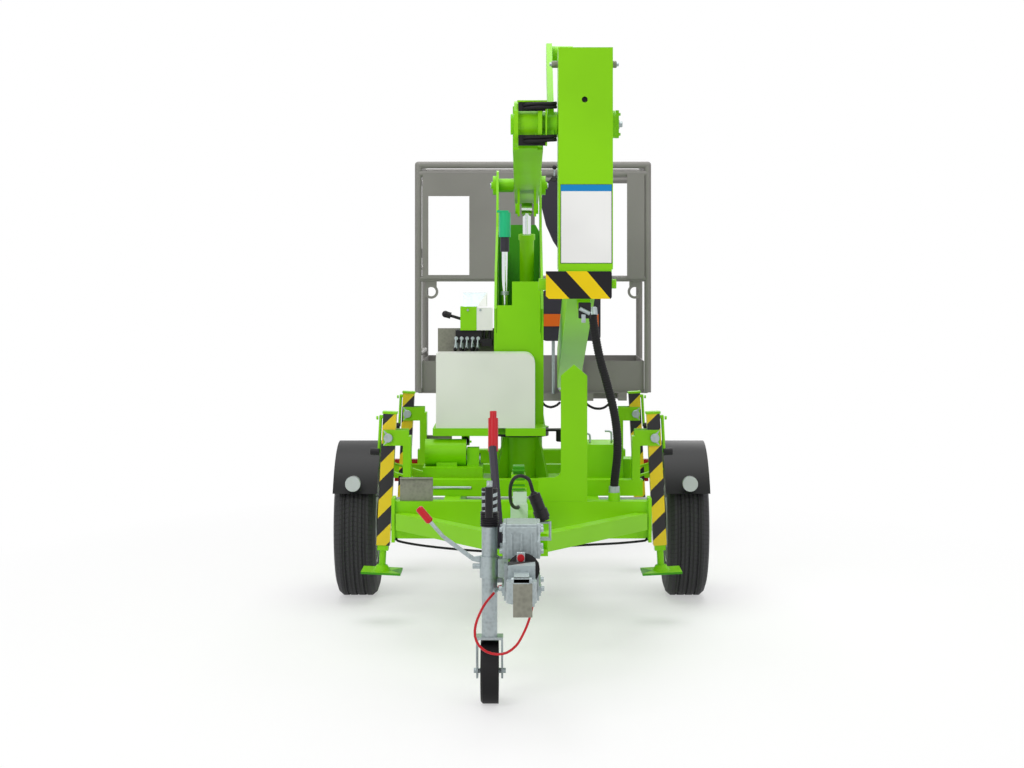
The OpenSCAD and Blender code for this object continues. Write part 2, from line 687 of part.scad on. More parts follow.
// Barrel from its foot eye, on the line from p to q
module barrel(x, p, q, r, len) {
    along(x, p, q) difference() {
        union() {
            rotate([0, 90, 0]) cylinder(r = 27, h = 2 * (r + foot_gap - fit), center = true);
            translate([0, 0, 20]) cylinder(r = r, h = len - 20);
            translate([0, 0, len]) cylinder(r = r + 5, h = 22);
        }
        rotate([0, 90, 0]) cylinder(r = pin_r + bore_fit, h = 2 * (r + foot_gap) + 10, center = true);
        translate([0, 0, 50]) cylinder(r = rod_r + fit, h = len);
    }
}

// Rod with its eye at q, reaching back towards p
module piston_rod(x, p, q, back) {
    len = norm([q[0] - p[0], q[1] - p[1]]);
    along(x, p, q) difference() {
        union() {
            translate([0, 0, len]) rotate([0, 90, 0]) cylinder(r = 24, h = 44, center = true);
            translate([0, 0, back]) cylinder(r = rod_r, h = len - back);
        }
        translate([0, 0, len]) rotate([0, 90, 0]) cylinder(r = pin_r + 2, h = 60, center = true);
    }
}

module riser_barrel() { color(green) barrel(riser_x, riser_base, riser_eye, barrel_r, 610); }
module riser_rod() { color(chrome) piston_rod(riser_x, riser_base, riser_eye, 75); }

function luff_foot() = [knuckle_y + luff_base[0], knuckle_z + luff_base[1]];
function luff_eye() = [knuckle_y, luff_pin_z];

module luff_barrel() { color(green) barrel(boom_x, luff_foot(), luff_eye(), luff_r, 318); }
module luff_rod() { color(chrome) piston_rod(boom_x, luff_foot(), luff_eye(), 60); }

module knuckle() {
    heel_l = boom_x - heel_w / 2;
    heel_r = boom_x + heel_w / 2;
    foot = luff_foot();
    arm_x = [heel_l - 34, heel_l - 14];
    color(green) {
        // Fork plates each side of the riser's head
        for (x = [[riser_x - fork_in - 14, riser_x - fork_in], [riser_x + fork_in, riser_x + fork_in + 14]])
            side_plate(x, [for (a = [0 : 30 : 330]) [knuckle_y + 78 * cos(a), knuckle_z + 78 * sin(a)]]);
        // Cross tube through the heel to its keeper on the far side
        rod_x(hub_r - 8, [riser_x - fork_in - 26, heel_l - 34], knuckle_y, knuckle_z);
        rod_x(hub_r, [riser_x + fork_in + 14, heel_l - 2], knuckle_y, knuckle_z);
        rod_x(hub_r - 8, [heel_l - 2, heel_r + 2], knuckle_y, knuckle_z);
        rod_x(hub_r + 4, [heel_r + 2, heel_r + 14], knuckle_y, knuckle_z);
        block([heel_r + 14, heel_r + 24], [knuckle_y - 20, knuckle_y + 20], [knuckle_z - 46, knuckle_z + 46]);
        // Arm up and back to the foot of the luff cylinder
        side_plate(arm_x, [[knuckle_y - 40, knuckle_z - 50], [knuckle_y + 60, knuckle_z - 50],
                   [foot[0] + 40, foot[1] - 30], [foot[0] + 40, foot[1] + 40],
                   [foot[0] - 40, foot[1] + 40], [knuckle_y - 30, knuckle_z + 50]]);
        rod_x(34, [arm_x[1], boom_x - luff_r - foot_gap], foot[0], foot[1]);
        rod_x(pin_r, [boom_x - luff_r - foot_gap, boom_x + luff_r + foot_gap + 10], foot[0], foot[1]);
        rod_x(pin_r + 6, [boom_x + luff_r + foot_gap, boom_x + luff_r + foot_gap + 10], foot[0], foot[1]);
    }
}

// Start of the upper boom tube's middle line under the heel, and its direction to the rear
boom_dir = [cos(boom_slope), -sin(boom_slope)];
boom_0 = [heel_front + 30, 1352 + boom_d / 2];
boom_1 = boom_0 + boom_len * boom_dir;

module upper_boom() {
    heel_l = boom_x - heel_w / 2;
    heel_r = boom_x + heel_w / 2;
    color(green) difference() {
        union() {
            // Tall heel box, open at the back where the cylinder swings
            difference() {
                block([heel_l, heel_r], [heel_front, heel_front + heel_d], [heel_bottom, heel_top]);
                block([heel_l + 12, heel_r - 12], [heel_front + 8, heel_front + heel_d + 1],
                      [boom_0[1] + boom_d / 2 + 12, heel_top - 8]);
            }
            rod_x(hub_r + 12, [heel_l, heel_l + 30], knuckle_y, knuckle_z);
            rod_x(hub_r + 12, [heel_r - 30, heel_r], knuckle_y, knuckle_z);
            along(boom_x, boom_0, boom_1)
                translate([-boom_w / 2, -boom_d / 2, 0]) cube([boom_w, boom_d, boom_len]);
            // Striped end plate and its pin bosses at the heel's foot
            front_plate([heel_front - 6, heel_front + 1],
                        [[heel_l - 32, 1240], [heel_r - 8, 1240], [heel_r - 4, 1246], [heel_r - 4, 1326],
                         [heel_r - 8, 1332], [heel_l - 42, 1332], [heel_l - 42, 1250]]);
            block([heel_l, heel_r - 4], [heel_front, heel_front + 60], [1270, 1340]);
            rod_x(16, [heel_r - 4, heel_r + 12], heel_front + 22, 1290);
            rod_x(20, [heel_l - 66, heel_l], heel_front + 26, 1288);
        }
        rod_x(hub_r - 8 + bore_fit, [heel_l - 1, heel_r + 1], knuckle_y, knuckle_z);
        rod_y(10, boom_x - 3, [heel_front - 1, heel_front + 9], 1905);
        along(boom_x, boom_0, boom_1)
            translate([-boom_w / 2 + boom_wall, -boom_d / 2 + boom_wall, 120])
                cube([boom_w - 2 * boom_wall, boom_d - 2 * boom_wall, boom_len]);
    }
    // Caps of the upper pin, outside the heel's cheeks
    color(steel) for (x = [[heel_l - 20, heel_l], [heel_r, heel_r + 16]]) rod_x(pin_r, x, knuckle_y, luff_pin_z);
    // Transport catch under the boom
    color(black) along(boom_x, boom_0, boom_1)
        translate([-12, boom_d / 2, 540]) cube([46, 34, 60]);
}

module telescope() {
    out = 90;
    color(steel) {
        along(boom_x, boom_0, boom_1) difference() {
            translate([-telescope_w / 2, -telescope_d / 2, tube_start + 160])
                cube([telescope_w, telescope_d, boom_len + out - tube_start - 160]);
            translate([-telescope_w / 2 + 5, -telescope_d / 2 + 5, tube_start + 150])
                cube([telescope_w - 10, telescope_d - 10, boom_len - tube_start - 200]);
        }
    }
    color(green) {
        for (s = [-1, 1])
            difference() {
                hull() {
                    rod_x(34, [boom_x + s * 31 - 5, boom_x + s * 31 + 5], cage_pin[0], cage_pin[1]);
                    along(boom_x, boom_0, boom_1) translate([s * 31 - 5, -30, boom_len + 30]) cube([10, 60, 50]);
                }
                rod_x(pin_r + 3, [boom_x - 60, boom_x + 60], cage_pin[0], cage_pin[1]);
            }
        rod_x(pin_r + 3, [boom_x - 42, boom_x + 42], cage_pin[0], cage_pin[1]);
    }
}

cage_l = cage_x - cage_w / 2;
cage_r = cage_x + cage_w / 2;
cage_back = cage_y + cage_d;
rail_top = cage_floor + cage_h;
post_r = rail_d / 2;

module cage_frame() {
    mid_z = cage_floor + toe_h + 0.42 * (cage_h - toe_h);
    color(grey) {
        for (x = [cage_l, cage_r], y = [cage_y, cage_back])
            rod_z(post_r, x, y, [cage_floor, rail_top]);
        for (x = [cage_x - 50, cage_x + 230]) rod_z(post_r - 3, x, cage_y, [cage_floor, rail_top]);
        rod_z(post_r - 3, cage_x, cage_back, [cage_floor, rail_top]);
        // Top and knee rails, with the left side open for the gate
        for (z = [rail_top, rail_top - 42]) {
            for (y = [cage_y, cage_back]) rod_x(post_r, [cage_l, cage_r], y, z);
            rod_y(post_r, cage_r, [cage_y, cage_back], z);
        }
        rod_y(post_r, cage_l, [cage_y, cage_back], rail_top);
        for (y = [cage_y, cage_back]) rod_x(post_r - 3, [cage_l, cage_r], y, mid_z);
        rod_y(post_r - 3, cage_r, [cage_y, cage_back], mid_z);
        for (x = [cage_l, cage_r], y = [cage_y, cage_back]) translate([x, y, rail_top]) sphere(post_r);
        for (x = [cage_r], y = [cage_y, cage_back]) translate([x, y, rail_top - 42]) sphere(post_r);
        // Ring plates for lanyards, under the knee rail
        for (x = [cage_l + 62, cage_r - 62]) difference() {
            union() {
                rod_y(34, x, [cage_y - 5, cage_y + 5], mid_z - 62);
                block([x - 26, x + 26], [cage_y - 5, cage_y + 5], [mid_z - 62, mid_z]);
            }
            rod_y(22, x, [cage_y - 6, cage_y + 6], mid_z - 62);
        }
        // Hinge lugs of the gate on the rear corner post
        for (z = [gate_z[0] - post_r + 4 - fit - 8, gate_z[1] + post_r - 4 + fit]) difference() {
            block([cage_l - 14, cage_l + 14], [gate_hinge_y - 16, cage_back], [z, z + 8]);
            rod_z(6 + bore_fit, cage_l, gate_hinge_y, [z - 1, z + 9]);
        }
        // Floor bearers and the pivot bracket in front
        for (x = [cage_l + 120, cage_r - 120])
            block([x - 20, x + 20], [cage_y, cage_back], [cage_floor - 40, cage_floor - 4]);
        block([boom_x - 130, boom_x + 130], [cage_y - 16, cage_y + 40], [cage_floor - 40, cage_floor - 4]);
        block([cage_l + 120, cage_r - 120], [cage_y + 150, cage_y + 190], [cage_floor - 40, cage_floor - 4]);
    }
    color(black) difference() {
        union() {
            rod_x(32, [boom_x - 25, boom_x + 25], cage_pin[0], cage_pin[1]);
            side_plate([boom_x - 25, boom_x + 25],
                       [[cage_pin[0] - 6, cage_pin[1] - 31], [cage_y - 15, cage_floor - 60],
                        [cage_y - 15, cage_floor - 4], [cage_pin[0] + 6, cage_pin[1] + 31]]);
            side_plate([boom_x - 25, boom_x + 25],
                       [[cage_y - 16, cage_floor - 60], [cage_y + 40, cage_floor - 100],
                        [cage_y + 40, cage_floor - 40], [cage_y - 16, cage_floor - 40]]);
        }
        rod_x(pin_r + 3 + bore_fit, [boom_x - 60, boom_x + 60], cage_pin[0], cage_pin[1]);
    }
}

module cage_floor_panels() {
    t = 3;
    mid_z = cage_floor + toe_h + 0.42 * (cage_h - toe_h);
    color(grey) {
        block([cage_l, cage_r], [cage_y, cage_back], [cage_floor - 4, cage_floor]);
        // Toe boards inside the posts
        for (y = [cage_y + post_r, cage_back - post_r - t])
            block([cage_l + post_r, cage_r - post_r], [y, y + t], [cage_floor, cage_floor + toe_h]);
        for (x = [cage_l + post_r, cage_r - post_r - t])
            block([x, x + t], [cage_y + post_r + t, cage_back - post_r - t], [cage_floor, cage_floor + toe_h]);
        // Sheets of the upper half, front and right
        difference() {
            block([cage_l + post_r + 6, cage_x - 50 + post_r], [cage_y - post_r - t, cage_y - post_r], [mid_z, rail_top - 42]);
            block([cage_l + post_r + 32, cage_l + 245], [cage_y - post_r - t - 1, cage_y - post_r + 1],
                  [mid_z + 18, rail_top - 150]);
        }
        block([cage_r - 100, cage_r - post_r], [cage_y - post_r - t, cage_y - post_r], [mid_z, rail_top - 42]);
    }
}

module cage_console() {
    // Operator's box on the front rail, with its lower tray in front of the cage
    color("#3a3540") {
        translate([cage_x + 180, cage_y - post_r + 3 - 90, 1130]) rotate([-90, 0, 0])
            linear_extrude(90) translate([0, 10]) round_rect([280, 240], 24);
        // Upper body, drawn in on the left below the levers
        front_plate([cage_y - post_r - 57, cage_y - post_r + 3],
                    [[cage_x + 125, 1240], [cage_x + 300, 1240], [cage_x + 320, 1560], [cage_x + 320, 1760],
                     [cage_x + 45, 1760], [cage_x + 40, 1640], [cage_x + 62, 1550], [cage_x + 95, 1475],
                     [cage_x + 125, 1430]]);
    }
    color("#e0601c") block([cage_x + 50, cage_x + 310], [cage_y - post_r - 93, cage_y - post_r - 87], [1070, 1128]);
}

gate_z = [cage_floor + toe_h + 30, rail_top - 70];
gate_hinge_y = cage_back - 45;

module cage_gate() {
    r = post_r - 4;
    y = [cage_y + 45, gate_hinge_y];
    color(grey) {
        for (h = [gate_z[0], (gate_z[0] + gate_z[1]) / 2, gate_z[1]]) rod_y(r, cage_l, y, h);
        rod_z(r, cage_l, y[0], gate_z);
        // Hinge upright with a pin at each end
        rod_z(r, cage_l, y[1], [gate_z[0] - r, gate_z[1] + r]);
        rod_z(6, cage_l, y[1], [gate_z[0] - r - 10, gate_z[1] + r + 10]);
    }
    // Latch against the front corner post
    color(black) block([cage_l - 12, cage_l + 12], [cage_y + post_r + fit, cage_y + 45], [gate_z[0] + 330, gate_z[0] + 400]);
}

// Hinged outer tube of a leg, hanging from its pin and leaning out
module leg_frame(c) {
    translate([c[0] * leg_x, c[1] * leg_y, leg_pin_z]) rotate([0, -c[0] * leg_lean, 0]) children();
}

module leg(c) {
    up = leg_top - leg_pin_z;
    leg_frame(c) {
        color("#f2d600") difference() {
            translate([-leg_w / 2, -leg_w / 2, up - leg_len]) cube([leg_w, leg_w, leg_len]);
            translate([-leg_w / 2 + leg_wall, -leg_w / 2 + leg_wall, up - leg_len - 1])
                cube([leg_w - 2 * leg_wall, leg_w - 2 * leg_wall, leg_len - up - 30]);
            rotate([90, 0, 0]) cylinder(r = pin_r + bore_fit, h = leg_w + 2, center = true);
        }
        color(green) {
            translate([-leg_w / 2 - 3, -leg_w / 2 - 3, up]) cube([leg_w + 6, leg_w + 6, 8]);
        }
        // Crank folded down on the outer side
        color(steel) {
            translate([0, 0, up - 14]) rotate([0, c[0] * 90, 0]) cylinder(r = 7, h = leg_w / 2 + 14);
            translate([c[0] * (leg_w / 2 + 10), 0, up - 150]) cylinder(r = 6, h = 140);
        }
        color(black) translate([c[0] * (leg_w / 2 + 8), 0, up - 148]) rotate([0, c[0] * 90, 0]) cylinder(r = 14, h = 34);
    }
}

module jack(c) {
    up = leg_top - leg_pin_z;
    in_w = leg_w - 2 * leg_wall - 2 * fit;
    leg_frame(c) {
        color(green) translate([-in_w / 2, -in_w / 2, up - leg_len - 20]) cube([in_w, in_w, leg_len - up - 50 + 20]);
        color(chrome) translate([0, 0, up - leg_len - 92]) cylinder(r = 13, h = 76);
        color(steel) {
            translate([0, 0, up - leg_len - 96]) cylinder(r1 = 34, r2 = 20, h = 20);
            translate([-pad_w / 2, -pad_w / 2, up - leg_len - 104]) cube([pad_w, pad_w, 8]);
        }
    }
}

// Tube swept along a cord's own points: rings of points, then side and end faces
function unit(v) = v / norm(v);
function ring(p, dir, r, n) =
    let (a = abs(dir.z) < 0.9 ? [0, 0, 1] : [1, 0, 0], u = unit(cross(dir, a)), w = cross(dir, u))
    [for (k = [0 : n - 1]) p + r * cos(360 * k / n) * u + r * sin(360 * k / n) * w];
function tangent(pts, i) = unit(pts[min(i + 1, len(pts) - 1)] - pts[max(i - 1, 0)]);
module cord(pts, r, n = 8) {
    rings = len(pts);
    verts = [for (i = [0 : rings - 1]) each ring(pts[i], tangent(pts, i), r, n)];
    sides = [for (i = [0 : rings - 2], k = [0 : n - 1])
        [i * n + k, i * n + (k + 1) % n, (i + 1) * n + (k + 1) % n, (i + 1) * n + k]];
    polyhedron(verts, concat([[for (k = [0 : n - 1]) n - 1 - k]], sides, [[for (k = [0 : n - 1]) (rings - 1) * n + k]]));
}

breakaway_pts = [[-58, -2030, 370], [-68, -2030, 370], [-84, -2056, 354], [-108, -2085, 330], [-126, -2100, 300], [-138, -2110, 268],
    [-140, -2116, 235], [-128, -2122, 208], [-104, -2128, 190], [-74, -2134, 184], [-44, -2140, 190],
    [-16, -2144, 212], [4, -2146, 245], [20, -2146, 282], [30, -2148, 318], [34, -2150, 340], [34, -2150, 358]];
plug_pts = [[40, -1700, 612], [35, -1700, 625], [30, -1690, 642], [24, -1670, 656], [8, -1650, 664], [-10, -1620, 662],
    [-26, -1580, 648], [-36, -1530, 620], [-38, -1470, 580], [-34, -1400, 545], [-24, -1330, 524], [-12, -1264, 514], [-12, -1240, 514]];
conduit_pts = [[258, -955, 1180], [260, -960, 1150], [265, -966, 1110], [272, -972, 1070], [280, -976, 1030],
    [290, -978, 990],
    [302, -978, 950], [314, -976, 905], [326, -972, 860], [336, -968, 815], [343, -962, 770],
    [347, -956, 725], [348, -948, 680], [346, -936, 640], [342, -922, 600], [339, -910, 565], [338, -905, 540],
    [338, -905, 525]];

module breakaway_cable() { color("#c8202a") cord(breakaway_pts, 4); }
module plug_cable() { color(black) cord(plug_pts, 6); }
module conduit() { color(black) cord(conduit_pts, 16, 10); }

module leg_front_left() leg(leg_corners[0]);
module leg_front_right() leg(leg_corners[1]);
module leg_rear_left() leg(leg_corners[2]);
module leg_rear_right() leg(leg_corners[3]);
module jack_front_left() jack(leg_corners[0]);
module jack_front_right() jack(leg_corners[1]);
module jack_rear_left() jack(leg_corners[2]);
module jack_rear_right() jack(leg_corners[3]);

place() side_rails();
place() cross_beams();
place() a_frame();
place() drawbar_beam();
place() axle_beam();
place() coupling();
place() handbrake_lever();
place() mudguards();
place() lamps();
place() boom_rest();
place() slew_pedestal();
place() pump_unit();
place() battery_boxes();
place() leg_posts();
place() jockey_tube();
place() plug_holder();
place() tyre(-1);  // tyre_left
place() rim(-1);  // rim_left
place() tyre(1);  // tyre_right
place() rim(1);  // rim_right
place() jockey_fork();
place() jockey_wheel();
place() turret_frame();
place() moulded_cover();
place() control_bank();
place() hand_pump();
place() riser();
place() riser_barrel();
place() riser_rod();
place() knuckle();
place() luff_barrel();
place() luff_rod();
place() upper_boom();
place() telescope();
place() cage_frame();
place() cage_floor_panels();
place() cage_console();
place() cage_gate();
place() leg_front_left();
place() leg_front_right();
place() leg_rear_left();
place() leg_rear_right();
place() jack_front_left();
place() jack_front_right();
place() jack_rear_left();
place() jack_rear_right();
place() breakaway_cable();
place() plug_cable();
place() conduit();
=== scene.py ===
"""Looks of the towable boom lift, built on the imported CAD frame."""

import math

import bpy
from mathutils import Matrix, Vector


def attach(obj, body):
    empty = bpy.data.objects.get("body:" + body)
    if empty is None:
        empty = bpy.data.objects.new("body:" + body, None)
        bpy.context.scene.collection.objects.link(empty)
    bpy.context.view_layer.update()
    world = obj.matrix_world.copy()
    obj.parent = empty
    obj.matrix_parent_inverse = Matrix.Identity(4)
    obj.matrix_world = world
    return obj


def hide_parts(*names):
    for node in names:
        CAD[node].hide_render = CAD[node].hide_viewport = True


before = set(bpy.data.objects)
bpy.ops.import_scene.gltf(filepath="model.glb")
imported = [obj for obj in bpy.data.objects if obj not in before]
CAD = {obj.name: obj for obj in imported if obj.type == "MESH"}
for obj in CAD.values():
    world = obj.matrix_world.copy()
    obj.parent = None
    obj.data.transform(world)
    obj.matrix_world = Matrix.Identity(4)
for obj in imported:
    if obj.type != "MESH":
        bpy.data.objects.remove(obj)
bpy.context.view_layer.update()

# The CAD source measures Y from the axle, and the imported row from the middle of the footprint
AXLE = 0.25925
RISER_PIN = (550, 1710)
RISER_LENGTH, RISER_RISE = 1954, math.radians(3.5)
KNUCKLE_Y = RISER_PIN[0] - RISER_LENGTH * math.cos(RISER_RISE)
KNUCKLE_Z = RISER_PIN[1] + RISER_LENGTH * math.sin(RISER_RISE)
HEEL_FRONT = KNUCKLE_Y - 95
TOP_PIN_Z = KNUCKLE_Z + 203
WHEEL_X, WHEEL_Z = 667.5, 298
LEG_X, LEG_Y, LEG_PIN_Z = 505, 600, 700
JOCKEY = (-98, -2010)
CONDUIT_SOCKET = (338, -905, 525)


def at(x, y, z):
    """Point in the row frame from millimetres, with Y counted from the axle."""
    return Vector((x / 1000, y / 1000 + AXLE, z / 1000))


# Colours and shader helpers


def colour(code):
    """Linear colour from an sRGB hex code."""
    values = [int(code[i : i + 2], 16) / 255 for i in (1, 3, 5)]
    return [v / 12.92 if v <= 0.04045 else ((v + 0.055) / 1.055) ** 2.4 for v in values] + [1.0]


def add(tree, kind, inputs=None, **settings):
    """Adds a shader node; inputs are values or sockets by name or number."""
    node = tree.nodes.new("ShaderNode" + kind)
    for name, value in settings.items():
        setattr(node, name, value)
    for name, value in (inputs or {}).items():
        if isinstance(value, bpy.types.NodeSocket):
            tree.links.new(value, node.inputs[name])
        else:
            node.inputs[name].default_value = value
    return node


def blank(name):
    """New material with its tree and its principled shader."""
    material = bpy.data.materials.new(name)
    material.use_nodes = True
    tree = material.node_tree
    return material, tree, tree.nodes["Principled BSDF"]


def place_of(tree):
    """Position at rest in the row frame, for patterns that stay on a moving piece."""
    return add(tree, "TexCoord").outputs["Object"]


def ramp(tree, factor, low, high, start=0.4, end=0.6):
    """Two colours over a factor."""
    node = add(tree, "ValToRGB", {"Fac": factor})
    node.color_ramp.elements[0].position = start
    node.color_ramp.elements[0].color = low
    node.color_ramp.elements[1].position = end
    node.color_ramp.elements[1].color = high
    return node.outputs["Color"]


def maths(tree, operation, a, b=0.0):
    """One math node's value."""
    return add(tree, "Math", {0: a, 1: b}, operation=operation).outputs[0]


def bump(tree, shader, height, depth_mm, strength=0.6):
    """Bump of a real depth on a shader's normal."""
    node = add(tree, "Bump", {"Height": height, "Distance": depth_mm / 1000, "Strength": strength})
    tree.links.new(node.outputs["Normal"], shader.inputs["Normal"])


# Materials


def paint(name, code, rough=0.38):
    """Sprayed paint with a faint orange peel."""
    material, tree, shader = blank(name)
    noise = add(tree, "TexNoise", {"Vector": place_of(tree), "Scale": 420.0, "Detail": 2.0})
    broad = add(tree, "TexNoise", {"Vector": place_of(tree), "Scale": 3.0, "Detail": 2.0})
    base = colour(code)
    dull = [c * 0.9 for c in base[:3]] + [1.0]
    tree.links.new(ramp(tree, broad.outputs["Fac"], dull, base, 0.3, 0.6), shader.inputs["Base Color"])
    shader.inputs["Roughness"].default_value = rough
    shader.inputs["Specular IOR Level"].default_value = 0.22
    shader.inputs["Coat Weight"].default_value = 0.08
    shader.inputs["Coat Roughness"].default_value = 0.2
    bump(tree, shader, noise.outputs["Fac"], 0.25, 0.25)
    return material


def galvanised(name, code="#a9b4b6", rough=0.42):
    """Hot-dip zinc with its spangle."""
    material, tree, shader = blank(name)
    cells = add(tree, "TexVoronoi", {"Vector": place_of(tree), "Scale": 90.0})
    noise = add(tree, "TexNoise", {"Vector": place_of(tree), "Scale": 14.0, "Detail": 3.0})
    mixed = maths(tree, "ADD", maths(tree, "MULTIPLY", cells.outputs["Distance"], 0.5), noise.outputs["Fac"])
    base = colour(code)
    dark = [c * 0.72 for c in base[:3]] + [1.0]
    tree.links.new(ramp(tree, mixed, dark, base, 0.35, 0.85), shader.inputs["Base Color"])
    shader.inputs["Metallic"].default_value = 0.75
    shader.inputs["Roughness"].default_value = rough
    bump(tree, shader, noise.outputs["Fac"], 0.3, 0.3)
    return material


def chrome(name):
    """Hard-chromed rod."""
    material, tree, shader = blank(name)
    noise = add(tree, "TexNoise", {"Vector": place_of(tree), "Scale": 60.0})
    tree.links.new(
        ramp(tree, noise.outputs["Fac"], [0.06] * 3 + [1], [0.16] * 3 + [1]), shader.inputs["Roughness"]
    )
    shader.inputs["Base Color"].default_value = colour("#dfe3e5")
    shader.inputs["Metallic"].default_value = 1.0
    return material


def plastic(name, code, rough=0.5, grain=0.15):
    """Moulded plastic or rubber."""
    material, tree, shader = blank(name)
    noise = add(tree, "TexNoise", {"Vector": place_of(tree), "Scale": 700.0, "Detail": 2.0})
    shader.inputs["Base Color"].default_value = colour(code)
    shader.inputs["Roughness"].default_value = rough
    shader.inputs["Specular IOR Level"].default_value = 0.25
    bump(tree, shader, noise.outputs["Fac"], grain, 0.3)
    return material


def clear_lens(name, code):
    """Lamp lens with ribs behind it."""
    material, tree, shader = blank(name)
    wave = add(tree, "TexWave", {"Vector": place_of(tree), "Scale": 60.0})
    shader.inputs["Base Color"].default_value = colour(code)
    shader.inputs["Roughness"].default_value = 0.08
    shader.inputs["Transmission Weight"].default_value = 0.35
    bump(tree, shader, wave.outputs["Fac"], 0.6, 0.5)
    return material


def leg_stripes(name):
    """Yellow and black bands that rise to the right at 45 degrees, 133 mm apart."""
    material, tree, shader = blank(name)
    split = add(tree, "SeparateXYZ", {"Vector": place_of(tree)})
    across = maths(tree, "SUBTRACT", split.outputs["Z"], split.outputs["X"])
    side = maths(tree, "ADD", across, maths(tree, "MULTIPLY", split.outputs["Y"], 0.4))
    phase = maths(tree, "FRACT", maths(tree, "MULTIPLY", maths(tree, "ADD", side, 2.0), 1 / 0.133))
    tree.links.new(
        ramp(tree, phase, colour("#e6c800"), colour("#0e0c10"), 0.498, 0.502), shader.inputs["Base Color"]
    )
    shader.inputs["Roughness"].default_value = 0.4
    return material


def tread(name, middle_x):
    """Road tyre: four grooves and fine cuts on the tread, rings on the walls, bumped in and with painted
    shade darkening their hollows.
    """
    material, tree, shader = blank(name)
    split = add(tree, "SeparateXYZ", {"Vector": place_of(tree)})
    y = maths(tree, "SUBTRACT", split.outputs["Y"], AXLE)
    z = maths(tree, "SUBTRACT", split.outputs["Z"], WHEEL_Z / 1000)
    x = maths(tree, "SUBTRACT", split.outputs["X"], middle_x)
    angle = maths(tree, "ARCTAN2", y, z)
    square = maths(tree, "ADD", maths(tree, "MULTIPLY", y, y), maths(tree, "MULTIPLY", z, z))
    radius = maths(tree, "SQRT", square)
    side = maths(tree, "ABSOLUTE", x)
    lean = maths(tree, "MULTIPLY", side, 0.9)
    turn = maths(tree, "MULTIPLY", maths(tree, "ADD", maths(tree, "ADD", angle, lean), 7.0), 96 / 6.2832)
    cuts = maths(tree, "MULTIPLY", maths(tree, "LESS_THAN", maths(tree, "FRACT", turn), 0.16), 0.55)
    for groove in (0.0165, 0.045):
        off = maths(tree, "ABSOLUTE", maths(tree, "SUBTRACT", side, groove))
        cuts = maths(tree, "MAXIMUM", cuts, maths(tree, "LESS_THAN", off, 0.0035))
    on_tread = maths(tree, "GREATER_THAN", radius, 0.284)
    rings = maths(tree, "LESS_THAN", maths(tree, "FRACT", maths(tree, "MULTIPLY", radius, 90.0)), 0.12)
    wall = maths(tree, "MULTIPLY", rings, maths(tree, "LESS_THAN", radius, 0.27))
    deep = maths(tree, "ADD", maths(tree, "MULTIPLY", cuts, on_tread), maths(tree, "MULTIPLY", wall, 0.4))
    # Grooves, cuts and wall rings get a darker base colour: painted shade in the hollows.
    shade = ramp(tree, deep, colour("#2c2c2f"), colour("#0a0a0b"), 0.1, 0.9)
    tree.links.new(shade, shader.inputs["Base Color"])
    shader.inputs["Roughness"].default_value = 0.72
    bump(tree, shader, maths(tree, "SUBTRACT", 1.0, deep), 4.0, 0.8)
    return material


GREEN = paint("green_paint", "#88d400", 0.42)
# Darker copy of the green paint, used as painted shade on the column's rear plate, the hose stack, the
# louvres and the jacks' feet.
SHADE_GREEN = paint("dark_green_paint", "#3f9a08")
GREY = paint("grey_paint", "#8a8884", 0.5)
TEAL = paint("teal_paint", "#22bf86", 0.3)
WHITE = paint("white_gelcoat", "#eeeeea", 0.3)
PALE = paint("pale_panel", "#cfe6cf", 0.45)
ZINC = galvanised("galvanised")
DULL = galvanised("weathered_steel", "#8c8c80", 0.6)
CHROME = chrome("chrome")
BLACK = plastic("black_plastic", "#1b191d", 0.45)
RUBBER = plastic("black_rubber", "#141315", 0.6)
GUARD = plastic("guard_plastic", "#111113", 0.45, 0.08)
SLATE = plastic("slate_plastic", "#332f3a", 0.5)
RED = plastic("red_plastic", "#c21e28", 0.3, 0.05)
ORANGE = plastic("orange_strip", "#e0651c", 0.4)
YELLOW = paint("yellow_paint", "#efcf00", 0.4)
INK = paint("black_paint", "#0d0b0f", 0.4)
BLUE = paint("blue_print", "#0d84c4", 0.5)
PAPER = paint("white_film", "#f2f2f0", 0.5)
SILVER = paint("silver_paint", "#d4d6d8", 0.35)
LENS = clear_lens("clear_lens", "#e4eaec")
RED_LENS = clear_lens("red_lens", "#b01018")
STRIPES = leg_stripes("leg_stripes")


def dress(node, material, *parts):
    """Gives a CAD node its material; parts are (test on a face's centre in mm, other material)."""
    mesh = CAD[node].data
    mesh.materials.clear()
    mesh.materials.append(material)
    for face in mesh.polygons:
        face.material_index = 0
    for number, (test, other) in enumerate(parts, 1):
        mesh.materials.append(other)
        for face in mesh.polygons:
            c = face.center
            if test(c.x * 1000, (c.y - AXLE) * 1000, c.z * 1000):
                face.material_index = number


